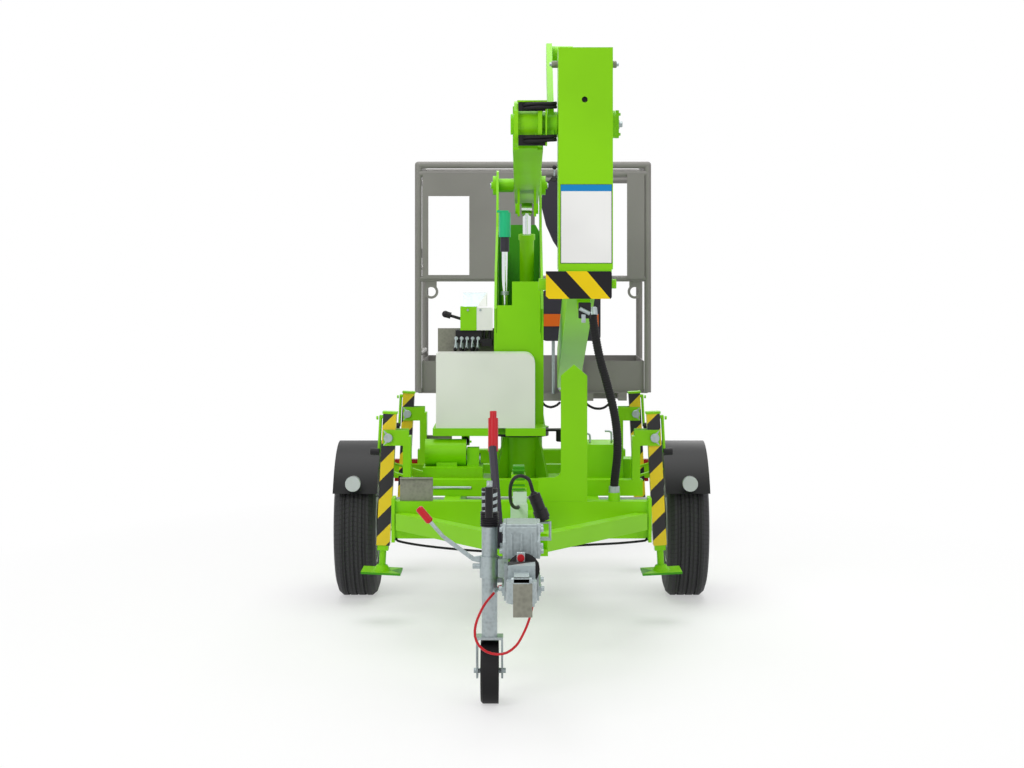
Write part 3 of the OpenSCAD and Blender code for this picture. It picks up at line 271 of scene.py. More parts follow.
def dress_all():
    """Every CAD node's finish."""
    for name in ("side_rails", "cross_beams", "a_frame", "boom_rest", "battery_boxes"):
        dress(name, GREEN)
    dress(
        "leg_posts", GREEN, (lambda x, y, z: abs(abs(y) - LEG_Y) > 35.2 or abs(abs(x) - LEG_X) < 12.1, ZINC)
    )
    dress("drawbar_beam", GREEN, (lambda x, y, z: y < -1199.9 and z > 465.1 and y > -1300, PALE))
    dress("axle_beam", ZINC)
    dress("coupling", ZINC, (lambda x, y, z: -2291 < y < -2210.5, RUBBER))
    dress(
        "handbrake_lever", BLACK, (lambda x, y, z: z > 771, RED), (lambda x, y, z: z > 884, INK),
        (lambda x, y, z: z < 460, ZINC),
    )
    dress("mudguards", GUARD, (lambda x, y, z: z < 520 and abs(x) < 560, GREEN))
    dress(
        "lamps", LENS, (lambda x, y, z: y > 500, RED_LENS), (lambda x, y, z: y > 500 and abs(x) < 440, ORANGE)
    )
    dress("slew_pedestal", GREEN, (lambda x, y, z: z > 655.1 or math.hypot(x, y) > 111 and z > 654, BLACK))
    dress("pump_unit", GREEN, (lambda x, y, z: x > -216 and 578 < z < 622 and -448 < y < -402, ZINC))
    dress("jockey_tube", ZINC, (lambda x, y, z: y < -2091 and z < 682, BLACK))
    dress("plug_holder", ZINC, (lambda x, y, z: z > 526, BLACK))
    for side, s in (("left", -1), ("right", 1)):
        dress("tyre_" + side, tread("tyre_" + side, s * WHEEL_X / 1000))
        dress("rim_" + side, SILVER)
    dress("jockey_fork", ZINC)
    dress("jockey_wheel", RUBBER, (lambda x, y, z: math.hypot(y + 1965, z - 100) < 72, SLATE))
    dress("turret_frame", GREEN, (lambda x, y, z: z < 691, BLACK))
    dress("moulded_cover", WHITE)
    dress(
        "control_bank", GREEN, (lambda x, y, z: x > -240 and z > 1190.5, ZINC),
        (lambda x, y, z: x > -180.5 and z > 1096, PAPER), (lambda x, y, z: y > -120.5, DULL),
        (lambda x, y, z: z < 1095.5 and y < -120.5, BLACK), (lambda x, y, z: x < -245.5 and z > 1101, BLACK),
    )
    dress(
        "hand_pump", CHROME, (lambda x, y, z: z > 1469.5, TEAL), (lambda x, y, z: 1410 <= z < 1469.5, SLATE),
        (lambda x, y, z: z < 1190.5 or 1234 < z < 1251, ZINC),
    )
    for name in ("riser", "riser_barrel", "knuckle", "luff_barrel"):
        dress(name, GREEN)
    dress("upper_boom", GREEN, (lambda x, y, z: abs(z - TOP_PIN_Z) < 17 and (x < 123 or x > 304), DULL))
    dress("riser_rod", CHROME)
    dress("luff_rod", CHROME)
    dress("telescope", ZINC, (lambda x, y, z: y > 1000, GREEN))
    dress("cage_frame", GREY, (lambda x, y, z: y < 1248.8 and z < 840, BLACK))
    dress("cage_floor_panels", GREY)
    dress("cage_console", SLATE, (lambda x, y, z: y < 1158.8 and z < 1129, ORANGE))
    dress("cage_gate", GREY, (lambda x, y, z: y < 1309.9 and 1205 < z < 1340, BLACK))
    for end in ("front", "rear"):
        for side, s in (("left", -1), ("right", 1)):
            outer = "leg_%s_%s" % (end, side)
            dress(
                outer, STRIPES, (lambda x, y, z: z > 788.5, GREEN),
                (lambda x, y, z, s=s: s * x > 529.5 + (z - LEG_PIN_Z) * -0.052, GREEN),
                (lambda x, y, z, s=s: s * x > 537 and z < 690 and z > 620, BLACK),
            )
            # The jacks' feet below 192 mm get the darker green as painted shade.
            dress("jack_%s_%s" % (end, side), GREEN, (lambda x, y, z: z < 192, SHADE_GREEN))


# Mesh helpers; sizes in millimetres, Y from the axle


def piece(name, vertices, faces, material, body, smooth=False):
    """Mesh object that rides on a CAD body."""
    mesh = bpy.data.meshes.new(name)
    mesh.from_pydata([at(*v) for v in vertices], [], faces)
    mesh.materials.append(material)
    mesh.validate()
    obj = bpy.data.objects.new(name, mesh)
    bpy.context.scene.collection.objects.link(obj)
    if smooth:
        for face in mesh.polygons:
            face.use_smooth = True
    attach(obj, body)
    return obj


def soften(obj, width, segments=2):
    """Rounded edges."""
    modifier = obj.modifiers.new("edges", "BEVEL")
    modifier.width = width / 1000
    modifier.segments = segments
    modifier.limit_method = "ANGLE"
    return obj


def block(name, x, y, z, material, body, round_by=0.0):
    """Box between two corners."""
    corners = [(a, b, c) for a in x for b in y for c in z]
    faces = [(0, 1, 3, 2), (4, 6, 7, 5), (0, 4, 5, 1), (2, 3, 7, 6), (0, 2, 6, 4), (1, 5, 7, 3)]
    obj = piece(name, corners, faces, material, body)
    return soften(obj, round_by) if round_by else obj


def slab(name, outline, axis, low, high, material, body, round_by=0.0):
    """Extruded outline: axis x takes (y, z) points, y takes (x, z) and z takes (x, y)."""

    def put(p, d):
        return {"x": (d, p[0], p[1]), "y": (p[0], d, p[1]), "z": (p[0], p[1], d)}[axis]

    n = len(outline)
    vertices = [put(p, low) for p in outline] + [put(p, high) for p in outline]
    faces = [tuple(range(n)), tuple(range(2 * n - 1, n - 1, -1))]
    faces += [(i, i + n, (i + 1) % n + n, (i + 1) % n) for i in range(n)]
    obj = piece(name, vertices, faces, material, body)
    bpy.context.view_layer.objects.active = obj
    return soften(obj, round_by) if round_by else obj


def lathe(name, start, end, profile, material, body, sides=24):
    """Turned piece on the line from start: profile is (distance along, radius) points."""
    a, b = Vector(start), Vector(end)
    along = (b - a).normalized()
    u = along.orthogonal().normalized()
    w = along.cross(u)
    rings = []
    for d, r in profile:
        rings.append([a + along * d + (u * math.cos(t) + w * math.sin(t)) * r
                      for t in [2 * math.pi * k / sides for k in range(sides)]])
    vertices = [tuple(p) for ring in rings for p in ring]
    faces = []
    for i in range(len(rings) - 1):
        for k in range(sides):
            m = (k + 1) % sides
            faces.append((i * sides + k, i * sides + m, (i + 1) * sides + m, (i + 1) * sides + k))
    faces.append(tuple(range(sides - 1, -1, -1)))
    faces.append(tuple((len(rings) - 1) * sides + k for k in range(sides)))
    obj = piece(name, vertices, faces, material, body, True)
    keep_edges(obj)
    return obj


def keep_edges(obj):
    """Flat caps beside smooth sides."""
    modifier = obj.modifiers.new("edges", "EDGE_SPLIT")
    modifier.split_angle = math.radians(40)


def rod(name, start, end, radius, material, body, sides=20, chamfer=1.0):
    """Round bar with small chamfers."""
    length = (Vector(end) - Vector(start)).length
    c = min(chamfer, radius * 0.5, length * 0.4)
    return lathe(name, start, end, [(0, radius - c), (c, radius), (length - c, radius), (length, radius - c)],
                 material, body, sides)


def ball(name, centre, radius, material, body):
    """Round knob."""
    steps = 10
    profile = [(-radius * math.cos(math.pi * k / steps), max(0.3, radius * math.sin(math.pi * k / steps)))
               for k in range(steps + 1)]
    return lathe(name, centre, (centre[0], centre[1], centre[2] + 1), profile, material, body, 20)


def smooth_path(points, step=12.0):
    """Points of a smooth curve through the given ones."""
    pts = [Vector(p) for p in points]
    out = []
    for i in range(len(pts) - 1):
        p0, p1, p2, p3 = pts[max(i - 1, 0)], pts[i], pts[i + 1], pts[min(i + 2, len(pts) - 1)]
        count = max(2, int((p2 - p1).length / step))
        for k in range(count):
            t = k / count
            out.append(0.5 * ((2 * p1) + (p2 - p0) * t + (2 * p0 - 5 * p1 + 4 * p2 - p3) * t * t
                              + (3 * p1 - p0 - 3 * p2 + p3) * t ** 3))
    out.append(pts[-1])
    return out


def hose(name, points, radius, material, body, ribs=0.0, step=12.0, sides=12):
    """Tube along a smooth path; ribs is the pitch of a corrugated wall. Returns the object and its path."""
    path = smooth_path(points, step)
    if ribs:
        path = resample(path, ribs / 4)
    vertices, faces = [], []
    u = None
    for i, p in enumerate(path):
        along = (path[min(i + 1, len(path) - 1)] - path[max(i - 1, 0)]).normalized()
        u = along.orthogonal() if u is None else u - along * u.dot(along)
        u.normalize()
        w = along.cross(u)
        r = radius * (1 if not ribs else (1.0, 0.97, 0.86, 0.97)[i % 4])
        for k in range(sides):
            t = 2 * math.pi * k / sides
            vertices.append(tuple(p + (u * math.cos(t) + w * math.sin(t)) * r))
    for i in range(len(path) - 1):
        for k in range(sides):
            m = (k + 1) % sides
            faces.append((i * sides + k, i * sides + m, (i + 1) * sides + m, (i + 1) * sides + k))
    faces.append(tuple(range(sides - 1, -1, -1)))
    faces.append(tuple((len(path) - 1) * sides + k for k in range(sides)))
    return piece(name, vertices, faces, material, body, True), path


def resample(path, step):
    """The same line with evenly spaced points."""
    out = [path[0]]
    left = step
    for a, b in zip(path, path[1:]):
        length = (b - a).length
        done = 0.0
        while length - done >= left:
            done += left
            out.append(a.lerp(b, done / length))
            left = step
        left -= length - done
    if (out[-1] - path[-1]).length > step * 0.3:
        out.append(path[-1])
    return out


def declare_cord(node=None):
    """Hides the CAD cord that a free cord stands for, when one is named."""
    if node:
        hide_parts(node)


def bolt(name, place, direction, size, body, material=None, washer=True):
    """Hexagon head of width size across its flats, on a face."""
    a = Vector(place)
    d = Vector(direction).normalized()
    if washer:
        rod(name + "_washer", a, a + d * size * 0.14, size * 0.85, material or ZINC, body, 20, 0.3)
    start = a + d * size * 0.1
    lathe(name, start, start + d, [(0, size * 0.56), (size * 0.5, size * 0.56), (size * 0.6, size * 0.48)],
          material or ZINC, body, 6)


# Pieces


def chevron_plate():
    """Black and yellow bands on the plate at the heel's foot, and the blank label above it."""
    front = HEEL_FRONT - 6
    plate = [(81, 1250), (91, 1240), (297, 1240), (301, 1246), (301, 1326), (297, 1332), (81, 1332)]
    slab("chevron_black", plate, "y", front - 1.0, front, INK, "upper_boom")
    slab("chevron_yellow_low", [(81, 1250), (91, 1240), (160, 1240), (81, 1325)],
         "y", front - 1.6, front - 0.9, YELLOW, "upper_boom")
    slab("chevron_yellow_mid", [(233, 1240), (296, 1240), (218, 1332), (148, 1332)],
         "y", front - 1.6, front - 0.9, YELLOW, "upper_boom")
    face = HEEL_FRONT
    label = [(130, 1358), (302, 1358), (302, 1622), (130, 1622)]
    slab("label_white", label, "y", face - 0.8, face, PAPER, "upper_boom")
    slab("label_blue", [(131.5, 1599), (300.5, 1599), (300.5, 1620.5), (131.5, 1620.5)],
         "y", face - 1.3, face - 0.7, BLUE, "upper_boom")
    for name, x, z in (("a", (130, 132), (1358, 1622)), ("b", (300, 302), (1358, 1622)),
                       ("c", (130, 302), (1358, 1360)), ("d", (130, 302), (1620, 1622))):
        block("label_edge_" + name, x, (face - 1.1, face - 0.7), z, SLATE, "upper_boom")


def heel_hole():
    """Black disc inside the heel, behind its round hole, as painted shade in the hollow boom."""
    y = HEEL_FRONT + 14
    rod("heel_hole_painted_shade", (212, y, 1904), (212, y + 2, 1904), 24, INK, "upper_boom", 20, 0.3)


def riser_head():
    """Black blocks in the mouths of the riser's boxed head as painted shade, its lips, and the hose pairs
    that cross to the heel.
    """
    y = KNUCKLE_Y
    # Black blocks in the open mouths stand for the shade inside: painted shade.
    for name, low, high in (("top", 1869, 1899), ("low", 1753, 1789)):
        block("head_painted_shade_" + name, (-11, 80), (y - 66, y - 58), (low, high), INK, "knuckle", 1)
    block("head_lip_top", (-15, 86), (y - 70, y - 40), (1899, 1905), GREEN, "knuckle", 1.5)
    block("head_lip_side", (80, 86), (y - 70, y - 40), (1753, 1899), GREEN, "knuckle", 1.5)
    for k, z in enumerate((1891, 1879, 1781, 1769)):
        sag = -2 if z < 1829 else 1
        hose("knuckle_hose_%d" % k,
             [(6, y - 60, z - 3), (16, y - 72, z - 1), (50, y - 76 - 5 * (k % 2), z + sag),
              (92, y - 74, z + 2), (106, y - 70, z + 3), (117, y - 66, z + 4)], 6, RUBBER, "knuckle")


def conduit():
    """Corrugated conduit from the front beam up beside the boom."""
    points = [(258, -955, 1180), (260, -960, 1150), (265, -966, 1110), (272, -972, 1070), (280, -976, 1030),
              (290, -978, 990), (302, -978, 950), (314, -976, 905), (326, -972, 860), (336, -968, 815),
              (343, -962, 770), (347, -956, 725), (348, -948, 680), (346, -936, 640), (342, -922, 600),
              (339, -910, 565), (338, -905, 540), CONDUIT_SOCKET]
    obj, path = hose("conduit_pipe", points[::-1], 16, RUBBER, "chassis", ribs=9.0, sides=16)
    x, y, z = CONDUIT_SOCKET
    rod("conduit_nut", (x, y, z - 3), (x, y, z + 23), 20, ZINC, "chassis", 6)
    gland = rod("conduit_gland", (258, -955, 1172), (255.7, -949.3, 1200), 18, ZINC, "chassis", 20)
    declare_cord("conduit")


def plug_and_cable():
    """Parked trailer plug, its collar and its cable."""
    points = [(40, -1700, 612), (35, -1700, 625), (30, -1690, 642), (24, -1670, 656), (8, -1650, 664),
              (-10, -1620, 662), (-26, -1580, 648), (-36, -1530, 620), (-38, -1470, 580), (-34, -1400, 545),
              (-24, -1330, 524), (-12, -1264, 514), (-12, -1240, 514)]
    obj, path = hose("plug_flex", points, 6, RUBBER, "chassis")
    declare_cord("plug_cable")
    a, b = Vector((40, -1700, 612)), Vector((72, -1700, 527))
    d = (b - a).normalized()
    lathe("plug_boot", a - d * 8, b, [(0, 8), (4, 11), (14, 13), (30, 21), (33, 21)], BLACK, "chassis")
    lathe("plug_collar", a + d * 52, b, [(0, 21), (2, 24), (30, 24), (32, 21)], BLACK, "chassis")


def breakaway():
    """Red breakaway cable with its sleeve and clip."""
    points = [(-58, -2030, 370), (-68, -2030, 370), (-84, -2056, 354), (-108, -2085, 330),
              (-126, -2100, 300), (-138, -2110, 268), (-140, -2116, 235), (-128, -2122, 208),
              (-104, -2128, 190), (-74, -2134, 184), (-44, -2140, 190), (-16, -2144, 212),
              (4, -2146, 245), (20, -2146, 282), (30, -2148, 318), (34, -2150, 340), (34, -2150, 358)]
    obj, path = hose("breakaway_wire", points, 4, RED, "chassis", sides=8)
    declare_cord("breakaway_cable")
    rod("breakaway_sleeve", (-72, -2038, 365), (-84, -2056, 354), 6, ZINC, "chassis", 12)
    rod("breakaway_clip", (33, -2150, 330), (34, -2150, 358), 7, ZINC, "chassis", 12)


def brake_cable():
    """Thin cable that hangs under the front beam from end to end."""
    points = [(-452, -930, 361), (-450, -931, 352), (-380, -932, 338), (-260, -933, 324), (-120, -934, 314),
              (0, -934, 316), (67, -934, 324), (160, -933, 333), (250, -932, 338), (360, -931, 344),
              (450, -930, 353), (452, -930, 361)]
    obj, path = hose("beam_cable", points, 4.5, RUBBER, "chassis", sides=8)
    declare_cord(None)


def jockey_trim():
    """Ribbed sleeve and bands on the jockey tube, and its clamp lever with a red grip."""
    x, y = JOCKEY
    ribs = []
    for k in range(7):
        ribs += [(k * 6.6, 26), (k * 6.6 + 1.5, 28.5), (k * 6.6 + 4.5, 28.5), (k * 6.6 + 6, 26)]
    lathe("jockey_sleeve", (x, y, 551), (x, y, 600), [(-1, 23.6)] + ribs + [(47, 23.6)], BLACK, "chassis")
    for k, z in enumerate((606, 628, 650)):
        slant = []
        for ring in (0, 1):
            for t in range(24):
                a = 2 * math.pi * t / 24
                slant.append((x + 24.7 * math.cos(a), y + 24.7 * math.sin(a),
                              min(660, z + ring * 11 + 6 * math.cos(a))))
        faces = [(t, (t + 1) % 24, (t + 1) % 24 + 24, t + 24) for t in range(24)]
        band = piece("jockey_band_%d" % k, slant, faces, BLACK, "chassis", True)
        thick = band.modifiers.new("wall", "SOLIDIFY")
        thick.thickness = 0.0012
        thick.offset = -1
    rod("jockey_cap", (x, y, 660), (x, y, 668), 25, BLACK, "chassis")
    # Clamp bolt, flat arm and grip
    rod("clamp_bolt", (-122, y, 429), (-150, y, 429), 9, ZINC, "chassis", 6)
    arm = [(-128, 440), (-152, 446), (-236, 508), (-246, 520), (-240, 526), (-228, 518), (-146, 458),
           (-126, 462)]
    slab("clamp_arm", arm, "y", y - 4, y + 4, ZINC, "chassis", 1.0)
    rod("clamp_rod", (-238, y, 517), (-284, y, 570), 6, ZINC, "chassis")
    rod("clamp_grip", (-279, y, 564), (-316, y, 608), 12, RED, "chassis", 20, 4)


def coupling_trim():
    """Overrun housing round the drawbar's end, the handbrake's channel, gaiter, indicator and nose plate."""
    cheek = [(-2132, 470), (-1975, 470), (-1975, 556), (-1990, 572), (-2100, 572), (-2132, 520)]
    for side, s in (("left", -1), ("right", 1)):
        low, high = sorted((s * 46, s * 56))
        slab("overrun_cheek_" + side, cheek, "x", low, high, ZINC, "chassis", 1.5)
        for k, (y, z) in enumerate(((-2110, 490), (-1995, 490), (-1995, 548), (-2090, 552))):
            bolt("overrun_bolt_%s_%d" % (side, k), (s * 56, y, z), (s, 0, 0), 15, "chassis")
    block("overrun_front", (-46, 46), (-2132, -2122), (470, 564), ZINC, "chassis", 1.5)
    block("overrun_top", (-46, 46), (-2124, -1980), (562, 572), ZINC, "chassis", 1.5)
    rod("handbrake_channel", (-64, -1944, 474), (-92, -1828, 778), 13, SLATE, "chassis", 6, 0.5)
    for k, x in enumerate((-30, 0, 30)):
        block("overrun_rib_%d" % k, (x - 3, x + 3), (-2138, -2132), (484, 546), ZINC, "chassis", 1)
    folds = [(0, 34), (4, 44), (9, 38), (14, 48), (20, 40), (26, 46)]
    lathe("gaiter", (6, -2232, 452), (6, -2206, 452), folds, RUBBER, "chassis", 24)
    block("indicator_post", (-14, 10), (-2246, -2234), (430, 506), ZINC, "chassis", 2)
    rod("coupling_dot", (-2, -2246, 490), (-2, -2252, 490), 11, RED, "chassis")
    block("nose_plate", (-24, 31), (-2450, -2442), (352, 448), DULL, "chassis", 1.5)
    block("nose_plate_web", (-3, 9), (-2442, -2420), (436, 447), DULL, "chassis", 1)
    for s in (-1, 1):
        for k, dy in enumerate((50, 220)):
            bolt("coupling_bolt_%d_%d" % (s, k), (s * 58, -2130 + dy, 372), (s, 0, 0), 16, "chassis")
    block("coupling_lip", (-30, 30), (-2450, -2430), (447, 463), ZINC, "chassis", 3)


def control_details():
    """Levers, knobs and fittings at the ground controls."""
    ball("valve_knob", (-307, -180, 1158.5), 14, BLACK, "turret")
    for k, x in enumerate((-262, -240, -218, -196, -174)):
        rod("valve_spool_%d" % k, (x, -204, 1062), (x, -222, 1062), 8, ZINC, "turret", 12)
        rod("valve_lever_%d" % k, (x, -219, 1062), (x - 4, -236, 1022), 3.5, ZINC, "turret", 10)
        ball("valve_tip_%d" % k, (x - 4, -236, 1020), 7, BLACK, "turret")
        rod("valve_fitting_%d" % k, (x, -160, 1046), (x, -160, 1018), 8, ZINC, "turret", 6)
    for k, x in enumerate((-150, -128)):
        ball("plate_tip_%d" % k, (x, -200, 1104), 8, BLACK, "turret")
    hose("valve_pipe_0", [(-262, -160, 1022), (-270, -150, 1006), (-268, -140, 985)], 6, RUBBER, "turret")
    hose("valve_pipe_1", [(-240, -160, 1022), (-236, -158, 1008), (-220, -165, 1000), (-196, -170, 1008),
                          (-196, -162, 1024)], 6, RUBBER, "turret")
    for k, x in enumerate((-215, -165)):
        bolt("panel_bolt_%d" % k, (x, -232 if k else -235, 1176), (0, -1, 0), 9, "turret", washer=False)


def console_details():
    """Boot, lever and knob on the operator's box."""
    boot = [(0, 26), (6, 25), (12, 18), (17, 17), (22, 10), (26, 9)]
    lathe("joystick_boot", (156, 1215, 1758), (156, 1215, 1790), boot, RUBBER, "cage")
    rod("joystick", (156, 1215, 1782), (157, 1212, 1822), 4, ZINC, "cage")
    ball("joystick_knob", (157, 1212, 1826), 11, BLACK, "cage")


def leg_knobs():
    """Crank nuts and the heads of the hinge pins."""
    for end, y in (("front", -LEG_Y), ("rear", LEG_Y)):
        for side, s in (("left", -1), ("right", 1)):
            body = "leg_%s_%s" % (end, side)
            bolt("crank_nut_" + end + side, (s * 544, y, 773.5), (s, 0, -0.05), 13, body, GREEN, False)
            for t in (-1, 1):
                rod("leg_pin_head_%s%s%d" % (end, side, t), (s * LEG_X, y + t * 43, LEG_PIN_Z),
                    (s * LEG_X, y + t * 49, LEG_PIN_Z), 17, ZINC, "chassis", 20)


def fork_plates():
    """Bare steel plates that stand on the two left beam ends."""
    for name, x, y, z in (("front", (-443, -323), -905, (495, 580)), ("rear", (-420, -309), 600, (540, 603))):
        block("steel_plate_" + name, x, (y - 5, y + 5), z, DULL, "chassis", 1)
        block("steel_plate_edge_" + name, x, (y - 20, y + 5), (z[1] - 4, z[1]), DULL, "chassis", 1)
    rod("plate_rod", (-310, 600, 574), (-222, 600, 574), 5, GREEN, "chassis")


def rest_post():
    """Boom rest: wide front plate with its peak, the post behind it, a cap and the foot's gusset."""
    outline = [(143, 495), (239, 495), (239, 952), (191, 993), (143, 952), (143, 604), (136, 590), (120, 582),
               (61, 580), (61, 495)]
    parts = [slab("rest_front_plate", outline, "y", -930, -918, GREEN, "chassis", 0.8)]
    parts.append(block("rest_tube", (166, 216), (-918, -875), (495, 960), GREEN, "chassis", 2))
    cap = [(148, 935), (234, 935), (234, 950), (191, 985), (148, 950)]
    parts.append(slab("rest_cap", cap, "y", -880, -870, GREEN, "chassis", 0.8))
    for obj in parts:
        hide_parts("boom_rest")


def column_plates():
    """Closing plates of the turret's column, in front of and behind the riser cylinder; the rear plate is
    darker green as painted shade in the recess.
    """
    front = [(-98, 1080), (76, 1080), (76, 1290), (-38, 1290), (-38, 1195), (-98, 1195)]
    slab("column_front", front, "y", -239, -231, GREEN, "turret", 0.8)
    rear = [(-99, 880), (77, 880), (77, 1500), (60, 1530), (-82, 1530), (-99, 1500)]
    # Rear plate in the darker green: painted shade in the recess behind the cylinder.
    slab("column_rear", rear, "y", 301, 309, SHADE_GREEN, "turret", 0.8)


def hose_stack():
    """Green stack of hose clips on the drawbar's bracket; its top and rungs are darker green as painted
    shade.
    """
    block("hose_stack_low", (-36, 14), (-1200, -1120), (592, 622), GREEN, "chassis", 2)
    block("hose_stack_top", (-30, 10), (-1190, -1130), (622, 650), SHADE_GREEN, "chassis", 2)
    for k, z in enumerate((570, 584, 606, 636)):
        block("hose_rung_%d" % k, (-33, 12), (-1206, -1188), (z - 2.5, z + 2.5), SHADE_GREEN, "chassis", 1)


def box_trim():
    """Hooks and louvres on the right-hand boxes, and a pipe along the left-hand ledge; the louvres are darker
    green as painted shade in their slots.
    """
    # Louvres in the darker green: painted shade in the slots.
    for k, x in enumerate((262, 276, 290, 304)):
        block("louvre_%d" % k, (x, x + 6), (-548, -540), (484, 516), SHADE_GREEN, "chassis", 1)
    hooks = (
        [(352, -400, 660), (352, -400, 690), (350, -402, 702), (340, -404, 706), (326, -404, 706)],
        [(268, -400, 655), (268, -400, 680), (266, -402, 692), (258, -404, 696)],
    )
    for k, points in enumerate(hooks):
        hose("lid_hook_%d" % k, points, 4, ZINC, "chassis", sides=8)
    rod("ledge_pipe", (-450, -640, 512), (-190, -640, 512), 5, ZINC, "chassis")


def wheel_trim():
    """Wheel nuts, hub caps and valves."""
    for side, s in (("left", -1), ("right", 1)):
        body = "wheel_" + side
        face = s * (WHEEL_X + 42)
        for k in range(5):
            a = 2 * math.pi * k / 5 + 0.3
            place = (s * (WHEEL_X + 17), 56 * math.sin(a), WHEEL_Z + 56 * math.cos(a))
            bolt("nut_%s_%d" % (side, k), place, (s, 0, 0), 19, body, washer=False)
        cap = (s * (WHEEL_X + 58), 0, WHEEL_Z), (s * (WHEEL_X + 62), 0, WHEEL_Z)
        rod("hub_cap_" + side, *cap, 24, SILVER, body)
        rod("valve_" + side, (face - s * 6, 0, WHEEL_Z - 150), (face + s * 16, 0, WHEEL_Z - 146), 4, RUBBER,
            body, 10)


def platform_trim():
    """Black drive housing and knob under the platform."""
    rod("slew_motor", (170, -120, 640), (170, -120, 690), 30, BLACK, "turret", 24, 3)
    block("slew_motor_foot", (60, 190), (-150, -90), (683, 691.3), BLACK, "turret", 2)
    rod("lock_knob", (-222, -300, 660), (-222, -330, 660), 16, BLACK, "turret", 20, 3)
    block("lock_bracket", (-238, -206), (-300, -280), (640, 691.3), GREEN, "turret", 2)


def cage_trim():
    """Hoses and the levelling tube under the cage, and the gate's latch."""
    sags = (
        [(300, 1262, 712), (318, 1255, 690), (352, 1250, 674), (392, 1252, 676), (425, 1262, 700),
         (430, 1268, 712)],
        [(96, 1262, 712), (110, 1250, 690), (140, 1244, 680), (170, 1246, 690), (184, 1250, 704)],
    )
    for k, points in enumerate(sags):
        hose("cage_hose_%d" % k, points, 6, RUBBER, "cage")
    rod("cage_tube", (152, 1240, 745), (152, 1240, 1128), 8, ZINC, "cage")
    block("gate_latch", (-512, -478), (1288, 1306), (1395, 1440), BLACK, "cage_gate", 2)


def boom_details():
    """The heel's stow lock, and the keepers' and pins' bolts on the booms."""
    keeper_x = 329
    y = HEEL_FRONT
    block("stow_lock", (190, 232), (y + 8, y + 22), (1174, 1228), BLACK, "upper_boom", 3)
    rod("stow_lock_bolt", (194, y + 3, 1208), (228, y + 3, 1190), 7, ZINC, "upper_boom", 12)
    block("stow_lock_tongue", (200, 214), (y + 2, y + 10), (1160, 1188), ZINC, "upper_boom", 1.5)
    bolt("keeper_bolt", (keeper_x, KNUCKLE_Y, KNUCKLE_Z), (1, 0, 0), 18, "knuckle")
    for k, dz in enumerate((-34, 34)):
        bolt("keeper_small_%d" % k, (keeper_x, KNUCKLE_Y, KNUCKLE_Z + dz), (1, 0, 0), 9, "knuckle", GREEN,
             False)
    for k, (x, s) in enumerate(((103, -1), (321, 1))):
        bolt("top_pin_%d" % k, (x, KNUCKLE_Y, TOP_PIN_Z), (s, 0, 0), 12, "upper_boom")
    for k, (x, s) in enumerate(((-126, -1), (106, 1))):
        bolt("riser_pin_%d" % k, (x, *RISER_PIN), (s, 0, 0), 18, "turret")


# Stage


def seen_rays(tree):
    """One where a ray comes from the camera, a mirror or glass, so that all three see the white surround."""
    rays = add(tree, "LightPath")
    seen = maths(tree, "MAXIMUM", rays.outputs["Is Camera Ray"], rays.outputs["Is Glossy Ray"])
    return maths(tree, "MAXIMUM", seen, rays.outputs["Is Transmission Ray"])


def floor_material():
    """White floor with a soft shadow near the machine, fading into the white surround."""
    material, tree, shader = blank("floor")
    shader.inputs["Base Color"].default_value = (0.94, 0.94, 0.94, 1)
    shader.inputs["Roughness"].default_value = 0.7
    split = add(tree, "SeparateXYZ", {"Vector": place_of(tree)})
    x = maths(tree, "MULTIPLY", split.outputs["X"], 0.9)
    y = maths(tree, "MULTIPLY", split.outputs["Y"], 0.6)
    square = maths(tree, "ADD", maths(tree, "MULTIPLY", x, x), maths(tree, "MULTIPLY", y, y))
    fade = ramp(tree, maths(tree, "MULTIPLY", square, 0.14), [0.45, 0.45, 0.45, 1], [1, 1, 1, 1], 0.05, 0.8)
    white = add(tree, "Emission", {"Color": (1, 1, 1, 1), "Strength": 1.0})
    clear = maths(tree, "MULTIPLY", fade, seen_rays(tree))
    mix = add(tree, "MixShader", {0: clear, 1: shader.outputs[0], 2: white.outputs[0]})
    tree.links.new(mix.outputs[0], tree.nodes["Material Output"].inputs["Surface"])
    return material


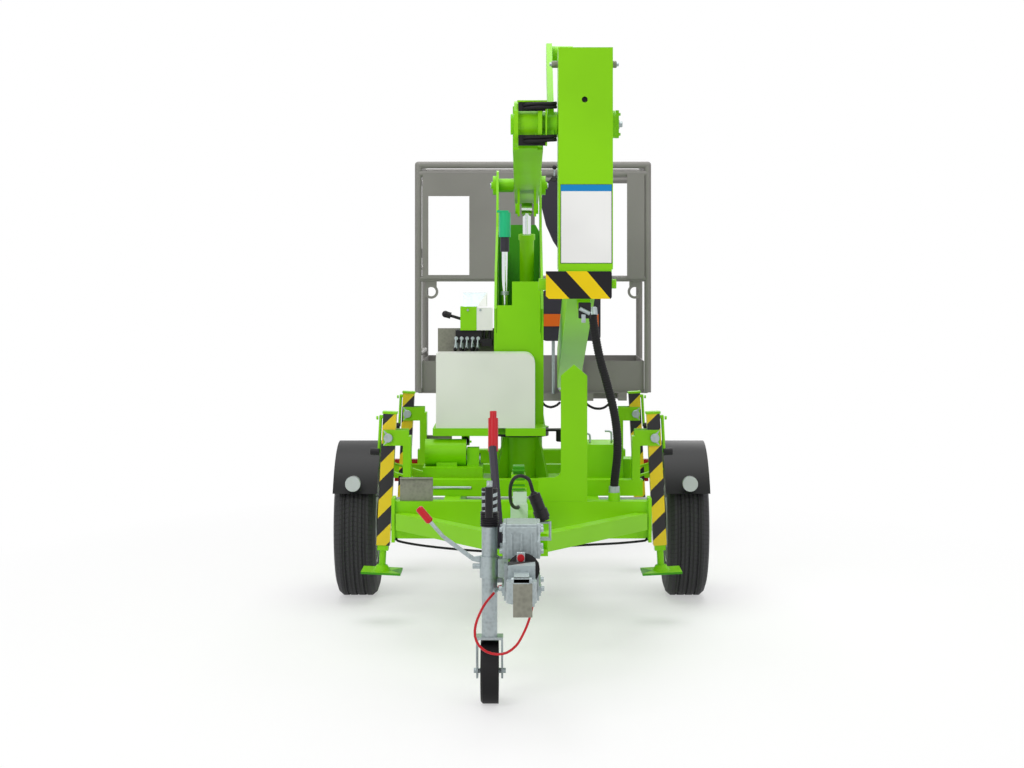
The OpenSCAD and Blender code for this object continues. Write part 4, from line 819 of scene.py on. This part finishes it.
def stage():
    """Floor, white surround and lights."""
    mesh = bpy.data.meshes.new("floor")
    mesh.from_pydata([(-40, -40, 0), (40, -40, 0), (40, 60, 0), (-40, 60, 0)], [], [(0, 1, 2, 3)])
    mesh.materials.append(floor_material())
    floor = bpy.data.objects.new("floor", mesh)
    bpy.context.scene.collection.objects.link(floor)
    world = bpy.data.worlds.new("surround")
    world.use_nodes = True
    bpy.context.scene.world = world
    tree = world.node_tree
    back = tree.nodes["Background"]
    back.inputs["Color"].default_value = (1, 1, 1, 1)
    back.inputs["Strength"].default_value = 0.42
    clean = add(tree, "Background", {"Color": (1, 1, 1, 1), "Strength": 1.0})
    mix = add(tree, "MixShader", {0: seen_rays(tree), 1: back.outputs[0], 2: clean.outputs[0]})
    tree.links.new(mix.outputs[0], tree.nodes["World Output"].inputs["Surface"])
    for name, place, size, power in (
        ("key", (-3.2, -6.5, 4.4), 2.6, 150),
        ("fill", (4.2, -5.5, 3.2), 3.0, 50),
        ("top", (0.0, 0.5, 6.0), 5.0, 210),
        ("rear", (1.5, 6.0, 3.5), 4.0, 70),
    ):
        light = bpy.data.lights.new(name, "AREA")
        light.size = size
        light.energy = power
        lamp = bpy.data.objects.new(name, light)
        lamp.location = place
        lamp.rotation_euler = (Vector((0, 0, 0.8)) - Vector(place)).to_track_quat("-Z", "Y").to_euler()
        bpy.context.scene.collection.objects.link(lamp)


def camera():
    """View from ahead of the coupling, level, as in the photo."""
    data = bpy.data.cameras.new("camera")
    data.lens = 66.45
    data.sensor_width = 36
    data.shift_x = -0.0093
    data.shift_y = -0.111
    data.clip_end = 200
    obj = bpy.data.objects.new("camera", data)
    obj.location = (0, -7.54075, 1.335)
    obj.rotation_euler = (math.radians(90), 0, 0)
    bpy.context.scene.collection.objects.link(obj)
    bpy.context.scene.camera = obj
    bpy.context.scene.view_settings.view_transform = "Standard"


dress_all()
chevron_plate()
heel_hole()
riser_head()
conduit()
plug_and_cable()
breakaway()
brake_cable()
jockey_trim()
coupling_trim()
control_details()
console_details()
leg_knobs()
fork_plates()
rest_post()
column_plates()
hose_stack()
box_trim()
wheel_trim()
platform_trim()
cage_trim()
boom_details()
stage()
camera()
